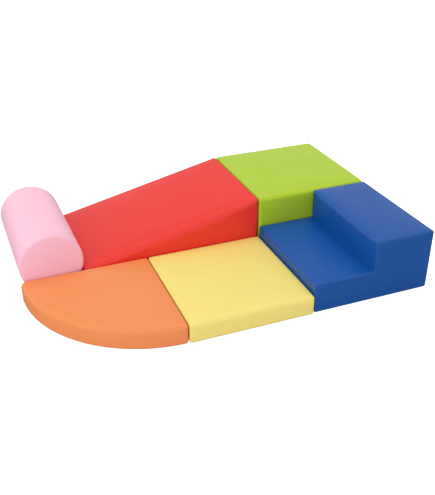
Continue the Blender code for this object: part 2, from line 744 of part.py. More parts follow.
def main():
    for old in list(bpy.data.objects):
        bpy.data.objects.remove(old, do_unlink=True)

    foam = make_material("open_cell_foam", "EFEAD8", 0.95)
    base = make_material("non_slip_base_cloth", "4A4B50", 0.9)
    metal = make_material("nickel_plated_zip", "C4C4C0", 0.3, 1.0)
    tapes = {
        "hook": make_material("hook_tape", "3A3B3F", 0.85),
        "loop": make_material("loop_tape", "47484C", 0.95),
    }
    covers = {
        "platform": ("green_faux_leather", "B6D250", build_platform),
        "ramp": ("red_faux_leather", "E84B48", build_ramp),
        "step": ("blue_faux_leather", "2F62AB", build_step),
        "square_mat": ("yellow_faux_leather", "F4E082", build_square_mat),
        "quarter_mat": ("orange_faux_leather", "F6945E", build_quarter_mat),
        "roller": ("pink_faux_leather", "FBC8DB", build_roller),
    }
    blocks = {}
    for name, (finish, colour, build) in covers.items():
        cover = make_material(finish, colour, 0.5)
        blocks[name] = build({"cover": cover, "base": base, "foam": foam, "metal": metal})
    join_blocks(blocks, tapes)


main()
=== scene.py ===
"""Six soft play blocks: foam with sewn faux leather covers, closing zips and hook and loop strips.

Lengths are in metres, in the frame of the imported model. Every surface starts as flat faces with
sharp edges, and each of its points then moves on to the block's own form, which is a distance.
"""

import json
import math

import bpy
import numpy as np
from mathutils import Matrix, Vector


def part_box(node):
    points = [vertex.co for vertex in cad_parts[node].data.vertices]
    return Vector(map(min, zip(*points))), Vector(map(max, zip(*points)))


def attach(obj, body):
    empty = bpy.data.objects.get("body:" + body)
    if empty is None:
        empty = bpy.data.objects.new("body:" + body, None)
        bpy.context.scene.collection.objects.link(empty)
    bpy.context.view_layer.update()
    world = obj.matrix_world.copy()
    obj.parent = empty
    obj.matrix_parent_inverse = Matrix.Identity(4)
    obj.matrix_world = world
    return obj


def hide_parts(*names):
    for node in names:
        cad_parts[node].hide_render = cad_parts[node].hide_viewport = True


bl_info = {
    "name": "Foam Play Block Set",
    "version": (1, 0, 0),
    "blender": (4, 5, 0),
    "location": "3D View > Sidebar > Play Blocks",
    "description": "Six foam play blocks with faux leather covers, built around their solid parts",
    "category": "Object",
}

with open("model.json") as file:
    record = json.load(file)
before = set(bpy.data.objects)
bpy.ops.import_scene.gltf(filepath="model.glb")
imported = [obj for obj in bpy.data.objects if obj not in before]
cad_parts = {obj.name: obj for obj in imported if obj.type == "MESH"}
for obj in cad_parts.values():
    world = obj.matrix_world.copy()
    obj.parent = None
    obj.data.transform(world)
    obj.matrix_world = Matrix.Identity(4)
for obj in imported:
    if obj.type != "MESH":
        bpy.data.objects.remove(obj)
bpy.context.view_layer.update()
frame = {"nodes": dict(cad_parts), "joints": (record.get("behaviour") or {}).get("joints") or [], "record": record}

BLOCKS = ("platform", "ramp", "step", "square_mat", "quarter_mat", "roller")
COVER_FINISH = {
    "platform": "green_faux_leather",
    "ramp": "red_faux_leather",
    "step": "blue_faux_leather",
    "square_mat": "yellow_faux_leather",
    "quarter_mat": "orange_faux_leather",
    "roller": "pink_faux_leather",
}
COVER_GLOSS = {
    "platform": 0.5,
    "ramp": 0.55,
    "step": 0.45,
    "square_mat": 0.5,
    "quarter_mat": 0.5,
    "roller": 0.5,
}
MM = 0.001


def node_box(*nodes):
    """Lowest and highest corner of some solid parts together, as arrays."""
    corners = [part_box(node) for node in nodes]
    low = np.min([np.array(low) for low, _ in corners], axis=0)
    high = np.max([np.array(high) for _, high in corners], axis=0)
    return low, high


# Sizes and colours that a user would change


def length(name, description, default):
    return bpy.props.FloatProperty(
        name=name, description=description, default=default, min=0.0, precision=4, unit="LENGTH"
    )


def colour(name, description, hex_colour):
    return bpy.props.FloatVectorProperty(
        name=name,
        description=description,
        default=linear(hex_colour),
        size=4,
        min=0.0,
        max=1.0,
        subtype="COLOR",
    )


def linear(hex_colour):
    """An sRGB hex colour as linear red, green, blue and 1."""
    values = np.array([int(hex_colour[i : i + 2], 16) / 255 for i in (0, 2, 4)])
    out = np.where(values <= 0.04045, values / 12.92, ((values + 0.055) / 1.055) ** 2.4)
    return (*out.tolist(), 1.0)


class PlayBlockSizes(bpy.types.PropertyGroup):
    """Sizes that the covers share."""

    block_height: length("Block height", "Height of the platform, ramp and step", 0.250)
    mat_thickness: length("Mat thickness", "Height of both mats and of the ramp's toe", 0.080)
    tread_height: length("Tread height", "Height of the step's lower level", 0.125)
    tread_depth: length("Tread depth", "Depth of the step's lower level", 0.250)
    cover_thickness: length("Cover thickness", "Thickness of the faux leather", 0.0012)
    crown: length("Crown", "How far the middle of a top stands above its edges", 0.003)
    roller_crown: length("Roller crown", "How far the middle of a roller end stands out", 0.004)
    roller_length: length("Roller length", "Overall length of the roller", 0.500)
    free_rim: length("Free rim radius", "Radius of a top edge that stands free", 0.017)
    tight_rim: length("Tight rim radius", "Radius of a top edge against a neighbour", 0.0075)
    far_rim: length("Far rim radius", "Radius of a top edge along the back or the right", 0.0065)
    end_rim: length("End rim radius", "Radius around the ends of the step", 0.006)
    roller_rim: length("Roller rim radius", "Radius around the ends of the roller", 0.0085)
    base_rim: length("Base rim radius", "Radius along the floor", 0.010)
    corner: length("Corner radius", "Radius of an upright corner", 0.010)
    left_tip: length("Left tip radius", "Radius of the quarter mat's left tip", 0.022)
    fold: length("Fold radius", "Radius where the step's cover folds over its foam", 0.018)
    fold_at_end: length("Fold radius at the ends", "That radius beside the end panels", 0.009)
    ramp_fold: length("Ramp fold radius", "Largest radius along the ramp's front edge", 0.028)
    inner_fold: length("Inner fold radius", "Radius in the step's inner corner", 0.0012)
    seam_valley: length("Seam valley", "Depth of the valley along a plain seam", 0.00045)
    pucker: length("Pucker", "Height of the small folds beside a seam", 0.00014)
    zip_slot: length("Zip slot width", "Width of the opening over a zip", 0.013)


class PlayBlockColours(bpy.types.PropertyGroup):
    """Colours of the covers and tapes."""

    platform: colour("Platform", "Green cover", "ADCC20")
    ramp: colour("Ramp", "Red cover", "EA2C24")
    step: colour("Step", "Blue cover", "0050A2")
    square_mat: colour("Square mat", "Yellow cover", "F4E07B")
    quarter_mat: colour("Quarter mat", "Orange cover", "F08E50")
    roller: colour("Roller", "Pink cover", "F8C1D5")
    foam: colour("Foam", "Cut open cell foam", "EFEAD8")
    base: colour("Base cloth", "Cloth under each block", "4A4B50")
    tape: colour("Hook and loop tape", "Woven strips between blocks", "3E3F44")


# Forms: a form gives each point its distance from the surface, negative inside


def met(first, second, radius):
    """Two faces that meet in an outer edge of that radius.

    Past both faces less the radius, the distance is that to a point, which makes the edge round.
    """
    a, b = first + radius, second + radius
    inside = np.minimum(np.maximum(a, b), 0.0)
    return inside + np.hypot(np.maximum(a, 0.0), np.maximum(b, 0.0)) - radius


def joined(first, second, radius):
    """Two faces that meet in an inner corner of that radius, as met() turned inside out."""
    return -met(-first, -second, radius)


def between(values, low, high):
    """Distance outside the stretch from low to high, negative within it."""
    return np.maximum(low - values, values - high)


# Around a corner, one side's rim radius turns into the next one's over about this distance
RIM_REACH = 0.018


def rim_of(radii, gaps):
    """The rim radius at a point: the sides' radii, averaged by weights exp(-gap / RIM_REACH)."""
    weights = [np.exp(-np.maximum(gap, 0) / RIM_REACH) for gap in gaps]
    return sum(radius * weight for radius, weight in zip(radii, weights)) / sum(weights)


def share(values, low, high):
    """0 at both ends of a stretch and 1 at its middle: one less the fourth power of the way out."""
    across = np.clip((2 * values - low - high) / (high - low), -1, 1)
    return 1 - across**4


def smooth(values):
    """0 up to 0, 1 from 1, and three v squared less two v cubed in between."""
    v = np.clip(values, 0.0, 1.0)
    return v * v * (3 - 2 * v)


def slope_of(points, form, step=2e-5):
    """Distance and outward direction at each point, by central differences of the form."""
    moves = np.eye(3) * step
    sides = [(form(points + move) - form(points - move)) / (2 * step) for move in moves]
    ways = np.stack(sides, axis=-1)
    return form(points), ways / np.maximum(np.linalg.norm(ways, axis=-1, keepdims=True), 1e-9)


def settle(points, form, rounds=7):
    """Moves points on to the form, each by its distance along its own outward direction."""
    for _ in range(rounds):
        away, outward = slope_of(points, form)
        points = points - away[..., None] * outward
    return points, slope_of(points, form)[1]


def bend_of(points, form, step=1.5e-3):
    """How tightly the surface bends: the form's second differences added up, 1 / metres."""
    total = -6 * form(points)
    for move in np.eye(3) * step:
        total = total + form(points + move) + form(points - move)
    return total / step**2


# Grid lines and faces

NEAR_EDGE = np.array((0, 0.8, 1.8, 3.2, 5.2, 7.8, 11, 15.5, 21, 28)) * MM
NEAR_EDGE_COARSE = np.array((0, 6, 15)) * MM
NEAR_SLOT = np.array((0, 0.25, 0.8, 1.7, 3.2, 5.5)) * MM
SPACING, SPACING_COARSE = 0.0105, 0.019


def thinned(places, pinned, least=0.24 * MM):
    """Sorted places, less those that come too close after another; pinned ones always stay."""
    kept, fixed = [], []
    for place in np.unique(np.round(places, 8)):
        stays = bool(np.min(np.abs(np.array(pinned) - place)) < 1e-7)
        close = bool(kept) and place - kept[-1] < least
        if close and stays and not fixed[-1]:
            kept.pop(), fixed.pop()
        elif close and not stays:
            continue
        kept.append(place)
        fixed.append(stays)
    return np.array(kept)


def lines(start, end, slots=(), coarse=False):
    """Grid line places from start to end: close together at the ends and beside zip slots.

    slots holds pairs of low and high, the ends of each slot.
    """
    near, spacing = (NEAR_EDGE_COARSE, SPACING_COARSE) if coarse else (NEAR_EDGE, SPACING)
    near = near[near < (end - start) / 2 - MM]
    first, last = start + near[-1], end - near[-1]
    middle = np.linspace(first, last, max(2, round((last - first) / spacing) + 1))
    return with_slots(np.concatenate((start + near, middle, end - near)), () if coarse else slots)


def with_slots(places, slots):
    """Adds the lines of zip slots to other lines, whose first and last stay."""
    beside = [low - NEAR_SLOT for low, _ in slots] + [high + NEAR_SLOT for _, high in slots]
    edges = [edge for pair in slots for edge in pair]
    return thinned(np.concatenate((places, *beside)), (places.min(), places.max(), *edges))


def flat(axis, value):
    """A flat face square to an axis: its two parameters are the other two coordinates."""

    def place(u, v):
        parts = [u, v]
        parts.insert(axis, np.full(np.broadcast(u, v).shape, value))
        return np.stack(np.broadcast_arrays(*parts), axis=-1)

    return place


def spline_weights(fine, coarse):
    """Weights that carry values on coarse lines to fine ones, by cubics through the values.

    Each cubic's slopes at its ends are the differences between the neighbours on both sides.
    """
    count = len(coarse)
    gaps = np.diff(coarse)
    slopes = np.zeros((count, count))
    inner = np.arange(1, count - 1)
    reach = coarse[2:] - coarse[:-2]
    slopes[inner, inner + 1], slopes[inner, inner - 1] = 1 / reach, -1 / reach
    slopes[0, :2] = -1 / gaps[0], 1 / gaps[0]
    slopes[-1, -2:] = -1 / gaps[-1], 1 / gaps[-1]
    left = np.clip(np.searchsorted(coarse, fine, side="right") - 1, 0, count - 2)
    h = gaps[left]
    t = (fine - coarse[left]) / h
    rows = np.arange(len(fine))
    weights = np.zeros((len(fine), count))
    weights[rows, left] += 2 * t**3 - 3 * t**2 + 1
    weights[rows, left + 1] += 3 * t**2 - 2 * t**3
    weights += ((t**3 - 2 * t**2 + t) * h)[:, None] * slopes[left]
    weights += ((t**3 - t**2) * h)[:, None] * slopes[left + 1]
    return weights


# A face with no edge of a kind counts as this far from one
NO_EDGE = 1.0
# Puckers: length of one, how far they reach from the seam, and how slowly they change along it
PUCKER_LENGTH, PUCKER_REACH, PUCKER_END = 0.0145, 0.009, 0.03
PUCKER_WANDER, PUCKER_SLOW = 0.083, 0.21


class Face:
    """One side of a block: its panel, the names of its two sets of lines, the function that places
    it, its edges (u start, u end, v start, v end) and how far it may swell, in millimetres.

    An edge is marked s where it is sewn, - where the cover folds over and . where it runs on.
    """

    def __init__(self, panel, u, v, place, edges, swell):
        self.panel, self.edges, self.swell = panel, edges, swell * MM
        self.u, self.v, self.place = u, v, place

    def grid(self, sets):
        return np.meshgrid(sets[self.u], sets[self.v], indexing="ij")

    def start(self, sets):
        return self.place(*self.grid(sets))

    def gap_to(self, sets, marks):
        """Distance of each grid point from the nearest edge that has one of the marks."""
        u, v = self.grid(sets)
        gaps = (u - u.min(), u.max() - u, v - v.min(), v.max() - v)
        chosen = [gap for gap, mark in zip(gaps, self.edges) if mark in marks]
        return np.min(chosen, axis=0) if chosen else np.full(u.shape, NO_EDGE)

    def puckers(self, sets):
        """Small folds square to each sewn edge, which fade away from it and at its ends.

        A sine along the edge, whose phase and strength wander by two slower sines, times a falling
        exponential of the distance to the edge.
        """
        u, v = self.grid(sets)
        gaps = (u - u.min(), u.max() - u, v - v.min(), v.max() - v)
        runs = (v, v, u, u)
        total = np.zeros(u.shape)
        for gap, run, mark in zip(gaps, runs, self.edges):
            if mark != "s":
                continue
            before, after = run - run.min(), run.max() - run
            at_ends = smooth(before / PUCKER_END) * smooth(after / PUCKER_END)
            turn = run * 2 * np.pi
            wave = np.sin(turn / PUCKER_LENGTH + 2.1 * np.sin(turn / PUCKER_WANDER))
            strength = 0.65 + 0.35 * np.sin(turn / PUCKER_SLOW + 1.3)
            total += at_ends * np.exp(-gap / PUCKER_REACH) * wave * strength
        return total


def quads_of(grid_shape, offset):
    """The four-sided faces of a grid, as rows of point numbers that start at offset."""
    rows, columns = grid_shape
    numbers = np.arange(rows * columns).reshape(rows, columns) + offset
    corners = (numbers[:-1, :-1], numbers[1:, :-1], numbers[1:, 1:], numbers[:-1, 1:])
    return np.stack([corner.ravel() for corner in corners], axis=1)


# Points within one cell of this size are welded. The shift keeps round numbers off its borders.
WELD_CELL = 0.02 * MM
WELD_SHIFT = 0.318


def weld(grids, outwards):
    """Puts grids together: points that fall in one place become one, and quads face outwards.

    Returns the points, the quads, for each grid point in turn its number among the points, and for
    each point the first grid point that it came from.
    """
    flat_points = np.concatenate([grid.reshape(-1, 3) for grid in grids])
    cells = np.round(flat_points / WELD_CELL + WELD_SHIFT).astype(np.int64)
    _, first, number = np.unique(cells, axis=0, return_index=True, return_inverse=True)
    number = number.ravel()
    quads, offset = [], 0
    for grid, outward in zip(grids, outwards):
        part = quads_of(grid.shape[:2], offset)
        a, b, d = (flat_points[part[:, k]] for k in (0, 1, 3))
        out = outward.reshape(-1, 3)[part[:, 0] - offset]
        if np.sum(np.cross(b - a, d - a) * out) < 0:
            part = part[:, ::-1]
        quads.append(part)
        offset += grid.shape[0] * grid.shape[1]
    return flat_points[first], number[np.concatenate(quads)], number, first


def new_object(name, points, quads, material, layers=None, solid=0.0):
    """An object at the origin from arrays of points and faces, with number layers on its points.

    With solid, the sheet gets that thickness inwards, and its free border is kept crisp.
    """
    mesh = bpy.data.meshes.new(name)
    mesh.from_pydata(points.tolist(), [], quads.tolist())
    for key, values in (layers or {}).items():
        layer = mesh.attributes.new(key, "FLOAT", "POINT")
        layer.data.foreach_set("value", values.astype(np.float32))
    mesh.polygons.foreach_set("use_smooth", np.ones(len(mesh.polygons), bool))
    mesh.materials.append(material)
    piece = bpy.data.objects.new(name, mesh)
    bpy.context.scene.collection.objects.link(piece)
    if solid:
        users = np.zeros(len(mesh.loops), np.int32)
        mesh.loops.foreach_get("edge_index", users)
        border = np.bincount(users, minlength=len(mesh.edges)) == 1
        crisp = mesh.attributes.new("sharp_edge", "BOOLEAN", "EDGE")
        crisp.data.foreach_set("value", border)
        wall = piece.modifiers.new("thickness", "SOLIDIFY")
        wall.thickness = solid
        wall.offset = -1.0
        wall.use_even_offset = False
    mesh.update()
    return piece


# Cloth simulation of a whole cover

CLOTH_FRAMES = 20
CLOTH = {
    "quality": 6,
    "mass": 0.35,
    "tension_stiffness": 40,
    "compression_stiffness": 40,
    "shear_stiffness": 20,
    "bending_stiffness": 6,
    "use_pressure": True,
    "uniform_pressure_force": 0.4,
}


def swell_of(block):
    """How an air-tight cover of this block eases outwards, as one array per face on coarse lines.

    The cover is welded into one closed skin, Blender's cloth pushes it out by a light pressure for
    20 frames without gravity, and each point's way is then held to what its face allows. Points
    on the floor side stay, since the block lies on them.
    """
    sets = block["lines"](True, None)
    grids, outwards = zip(*[settle(face.start(sets), block["form"]) for face in block["faces"]])
    points, quads, number, _ = weld(grids, outwards)
    sizes = [grid[..., 0].size for grid in grids]
    still = np.repeat([face.swell == 0 for face in block["faces"]], sizes)
    held = np.zeros(len(points), bool)
    held[number[still]] = True
    mesh = bpy.data.meshes.new("skin")
    mesh.from_pydata(points.tolist(), [], quads.tolist())
    skin = bpy.data.objects.new("skin", mesh)
    bpy.context.scene.collection.objects.link(skin)
    group = skin.vertex_groups.new(name="held")
    group.add(np.flatnonzero(held).tolist(), 1.0, "REPLACE")
    cloth = skin.modifiers.new("cloth", "CLOTH")
    for key, value in CLOTH.items():
        setattr(cloth.settings, key, value)
    cloth.settings.vertex_group_mass = "held"
    cloth.settings.effector_weights.gravity = 0.0
    cloth.point_cache.frame_start, cloth.point_cache.frame_end = 1, CLOTH_FRAMES
    scene = bpy.context.scene
    for step in range(1, CLOTH_FRAMES + 1):
        scene.frame_set(step)
    swollen = skin.evaluated_get(bpy.context.evaluated_depsgraph_get())
    after = np.zeros(len(points) * 3, np.float32)
    swollen.data.vertices.foreach_get("co", after)
    moved = after.reshape(-1, 3).astype(float) - points
    bpy.data.objects.remove(skin)
    bpy.data.meshes.remove(mesh)
    scene.frame_set(1)
    parts = np.split(moved[number], np.cumsum(sizes)[:-1])
    return [part.reshape(grid.shape) for part, grid in zip(parts, grids)], sets


EASE_AT_EDGE = 0.15 * MM
EASE_REACH = 0.06


def held_to(way, face, sets, corner_gap):
    """The simulated way a, held by a / (1 + |a| / limit). The limit grows in from the edges."""
    if face.swell == 0:
        return 0 * way
    gap = np.minimum(face.gap_to(sets, "s-"), corner_gap)
    limit = EASE_AT_EDGE + max(face.swell - EASE_AT_EDGE, 0) * smooth(gap / EASE_REACH)
    size = np.linalg.norm(way, axis=-1)
    return way / (1 + size / limit)[..., None]


# Covers

# How far from a seam its valley reaches, and its darkening: dust and painted shade
VALLEY_REACH = 1.5 * MM
DUST_AND_SHADE_REACH = 2.5 * MM
# What one unit of bend (1 / metres) counts for as a fold made paler by wear and a painted highlight, and as an
# inner corner darkened by dust and painted shade
FOLD_PER_BEND = 0.008
CORNER_PER_BEND = 0.004
# The cover's edge turns in by this much beside a zip, over this reach. Points of the zip's panel
# that are further than the last value from its face belong to the panel's other sides.
TURN_IN = 1.7 * MM
TURN_IN_REACH = 0.7 * MM
IN_THE_FACE = 6 * MM


def slot_gap(points, zip_place, half_length, half_width):
    """Distance of each point from a zip's slot within the face, its height over the face, and a
    number that is negative inside the slot.
    """
    origin, along, out = zip_place["origin"], zip_place["along"], zip_place["out"]
    across = np.cross(out, along)
    local = points - origin
    far = np.abs(local @ along) - half_length
    wide = np.abs(local @ across) - half_width
    return np.hypot(np.maximum(far, 0), np.maximum(wide, 0)), local @ out, np.maximum(far, wide)


def sew_cover(block, sizes):
    """The block's cover panels: settled on its form, swollen, and drawn in along the seams.

    A seam is a valley whose depth is a bell curve of the distance to it, with puckers beside it.
    Beside the zip's slot the panel turns in by a falling exponential of the distance to the slot.
    """
    name, form = block["name"], block["form"]
    ways, coarse = swell_of(block)
    zip_place = block["zip"]
    sets = block["lines"](False, (zip_place["length"], sizes.zip_slot))
    half_length, half_width = zip_place["length"] / 2, sizes.zip_slot / 2
    seam_point = block.get("seam_point", lambda face, grid: np.full(grid.shape[:2], NO_EDGE))
    panels = {}
    for face, way in zip(block["faces"], ways):
        grid, outward = settle(face.start(sets), form)
        bend = bend_of(grid, form)
        held = held_to(way, face, coarse, seam_point(face, face.start(coarse)))
        across = spline_weights(sets[face.u], coarse[face.u])
        along = spline_weights(sets[face.v], coarse[face.v])
        grid = grid + np.einsum("ai,bj,ijk->abk", across, along, held)
        gap = np.minimum(face.gap_to(sets, "s"), seam_point(face, grid))
        valley = np.exp(-((gap / VALLEY_REACH) ** 2))
        height = -sizes.seam_valley * valley + sizes.pucker * face.puckers(sets) * (1 - valley)
        beside, over, within = slot_gap(grid, zip_place, half_length, half_width)
        near = (np.abs(over) < IN_THE_FACE) & (face.panel == zip_place["panel"])
        height = height - near * TURN_IN * np.exp(-beside / TURN_IN_REACH)
        grid = grid + height[..., None] * outward
        # Inner corners are darkened like seams: painted shade, with a little dust
        corner = np.clip(-bend * CORNER_PER_BEND, 0, 1)
        # seam: darker at seams and inner corners, dust and painted shade; fold: paler on outer folds, wear and a
        # painted highlight
        layers = {
            "seam": np.maximum(np.exp(-gap / DUST_AND_SHADE_REACH), corner),
            "fold": np.clip(bend * FOLD_PER_BEND, 0, 1),
            "cut": np.where(near, within, 1.0),
        }
        panels.setdefault(face.panel, []).append((grid, outward, layers))
    for panel, parts in panels.items():
        points, quads, _, first = weld([part[0] for part in parts], [part[1] for part in parts])
        layers = {
            key: np.concatenate([layer[key].ravel() for _, _, layer in parts])[first]
            for key in ("seam", "fold", "cut")
        }
        cut = layers.pop("cut")
        quads = quads[cut[quads].max(axis=1) > 1e-7]
        used, renumbered = np.unique(quads, return_inverse=True)
        quads = renumbered.reshape(quads.shape)
        layers = {key: values[used] for key, values in layers.items()}
        is_base = panel == "base_panel"
        material = materials()["base" if is_base else name]
        node = f"{name}_{panel}"
        wall = sizes.cover_thickness
        piece = new_object(f"{node}_cover", points[used], quads, material, layers, wall)
        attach(piece, name)
        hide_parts(node)


# Foam lies CORE_INSET inside the form, and leaves a channel for the zip's tray. The channel is
# longer than the zip by CHANNEL_EXTRA, and only foam within UNDER_THE_FACE of its face has it.
CORE_INSET = 0.0022
CHANNEL_DEPTH = 0.0085
CHANNEL_WIDTH = 0.0212
CHANNEL_EXTRA = 0.0175
CHANNEL_WALL = 0.5 * MM
UNDER_THE_FACE = 8 * MM
# Between the step's two foam blocks, and the radius of their edges there
GLUE_LINE = 0.0003
GLUED_EDGE = 0.0015


def channel(zip_place):
    """Length and width of the channel that the foam leaves for a zip."""
    return zip_place["length"] + CHANNEL_EXTRA, CHANNEL_WIDTH


def inset(form):
    """The form drawn in, to lie under the cover."""
    return lambda points: form(points) + CORE_INSET


def cut_core(name, form, faces, sets, zip_place):
    """A foam core with a channel under the zip, CHANNEL_DEPTH deep and open to the cover."""
    length, width = channel(zip_place)
    grids, outwards = [], []
    for face in faces:
        grid, outward = settle(face.start(sets), form)
        beside, over, _ = slot_gap(grid, zip_place, length / 2, width / 2)
        near = np.abs(over) < UNDER_THE_FACE
        depth = near * CHANNEL_DEPTH * (1 - smooth(beside / CHANNEL_WALL))
        grids.append(grid - depth[..., None] * zip_place["out"])
        outwards.append(outward)
    points, quads, _, _ = weld(grids, outwards)
    return foam_piece(name, points, quads)


def foam_piece(name, points, quads):
    """A foam core's object, in place of the solid part of that name."""
    piece = new_object(f"{name}_block", points, quads, materials()["foam"])
    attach(piece, body_of(name))
    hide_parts(name)
    return piece


def body_of(part):
    """The body that a solid part moves with."""
    bodies = frame["record"]["behaviour"]["bodies"]
    return next(body for body, parts in bodies.items() if part in parts)


# The six blocks

# How far each side may swell, in millimetres. A side against a neighbour hardly does.
SWELL = {
    "platform": {"left": 0.2, "right": 1.2, "front": 0.25, "back": 1.6, "top": 1.0},
    "square_mat": {"left": 0.2, "right": 0.2, "front": 1.4, "back": 0.2, "top": 1.0},
    "quarter_mat": {"left": 1.2, "right": 0.2, "front": 1.2, "back": 0.2, "top": 1.0},
    "ramp": {"slope": 1.2, "high_end": 0.2, "toe": 1.0, "front": 0.25, "back": 1.4},
    "step": {
        "left": 0.2,
        "tread": 1.0,
        "riser": 1.2,
        "top": 1.2,
        "right": 1.4,
        "front": 1.4,
        "back": 0.25,
    },
    "roller": {"end": 0.8, "round": 0.8},
}
NO_SWELL = {"left": 0, "right": 0, "front": 0, "back": 0, "top": 0}


def box_faces(low, high, swell):
    """Faces of a flat block."""
    return [
        Face("top_panel", "x", "y", flat(2, high[2]), "ssss", swell["top"]),
        Face("base_panel", "x", "y", flat(2, low[2]), "ssss", 0),
        Face("side_band", "y", "z", flat(0, low[0]), "--ss", swell["left"]),
        Face("side_band", "y", "z", flat(0, high[0]), "--ss", swell["right"]),
        Face("side_band", "x", "z", flat(1, low[1]), "--ss", swell["front"]),
        Face("side_band", "x", "z", flat(1, high[1]), "--ss", swell["back"]),
    ]


def box_form(low, high, sizes, crown, rims):
    """A block with upright sides: walls that meet in round corners, under a crowned top.

    rims holds the radii of the top's left, right, front and back edge.
    """

    def form(p):
        x, y, z = np.moveaxis(p, -1, 0)
        walls = met(between(x, low[0], high[0]), between(y, low[1], high[1]), sizes.corner)
        rise = crown * share(x, low[0], high[0]) * share(y, low[1], high[1])
        rim = rim_of(rims, (x - low[0], high[0] - x, y - low[1], high[1] - y))
        return met(met(walls, z - high[2] - rise, rim), low[2] - z, sizes.base_rim)

    return form


def zip_at(panel, origin, along, out, length):
    """Where a zip lies: its panel, middle, direction, way out of the face, and length."""
    along, out, origin = (np.array(value, float) for value in (along, out, origin))
    return {"panel": panel, "origin": origin, "along": along, "out": out, "length": length}


def zip_over_tape(name, panel, along, out, face):
    """The zip over a block's solid tape. face is the coordinate of the face that it opens."""
    low, high = node_box(f"{name}_zip_tape")
    origin = np.where(out, face, (low + high) / 2)
    return zip_at(panel, origin, along, out, np.abs(along) @ (high - low) - 2 * TAPE_OVERLAP)


def slot_lines(zip_place, opening):
    """Where a slot of that length and width starts and ends along x, y and z.

    An axis that the slot's plane doesn't reach has none.
    """
    if opening is None:
        return [[], [], []]
    length, width = opening
    across = np.cross(zip_place["out"], zip_place["along"])
    reach = np.abs(zip_place["along"]) * length / 2 + np.abs(across) * width / 2
    ends = [(middle - half, middle + half) for middle, half in zip(zip_place["origin"], reach)]
    return [[pair] if half > 0 else [] for pair, half in zip(ends, reach)]


def box_lines(low, high, zip_place, coarse, opening):
    slots = slot_lines(zip_place, opening)
    return {axis: lines(low[i], high[i], slots[i], coarse) for i, axis in enumerate("xyz")}


def flat_block(name, low, high, sizes, rims, zip_place):
    """A block with a flat top. rims holds the radii of its left, right, front and back edge."""
    return {
        "name": name,
        "form": box_form(low, high, sizes, sizes.crown, rims),
        "faces": box_faces(low, high, SWELL[name]),
        "lines": lambda coarse, opening: box_lines(low, high, zip_place, coarse, opening),
        "zip": zip_place,
    }


def platform_block(sizes):
    low, high = node_box("platform_side_band")
    low[2], high[2] = 0, sizes.block_height
    place = zip_over_tape("platform", "side_band", (-1, 0, 0), (0, 1, 0), high[1])
    rims = sizes.tight_rim, sizes.far_rim, sizes.free_rim, sizes.far_rim
    return flat_block("platform", low, high, sizes, rims, place)


def square_mat_block(sizes):
    low, high = node_box("square_mat_side_band")
    low[2], high[2] = 0, sizes.mat_thickness
    place = zip_over_tape("square_mat", "base_panel", (1, 0, 0), (0, 0, -1), 0)
    rims = sizes.tight_rim, sizes.tight_rim, sizes.free_rim, sizes.tight_rim
    return flat_block("square_mat", low, high, sizes, rims, place)


# The ramp's end faces keep their rows this far up from the floor and down from the slope
RAMP_LOW_ROWS, RAMP_HIGH_ROWS = 0.046, 0.022
# Its front edge folds softly: how far along the softness is at the toe, over what share of the
# ramp's length it grows, and where and over what share it ends at the high end
SOFT_AT_TOE, SOFT_GROWS, SOFT_ENDS, SOFT_FADES = 0.45, 0.35, 1.06, 0.30
# Down from the slope it is whole for 0.6 of this depth, and gone at 1.6 of it
SOFT_DEPTH, SOFT_STAYS = 0.06, 1.6
# Its least radius, as a share of the free rim, and the height in which the rims reach their radius
LEAST_RIM, RIM_HEIGHT = 0.7, 0.05


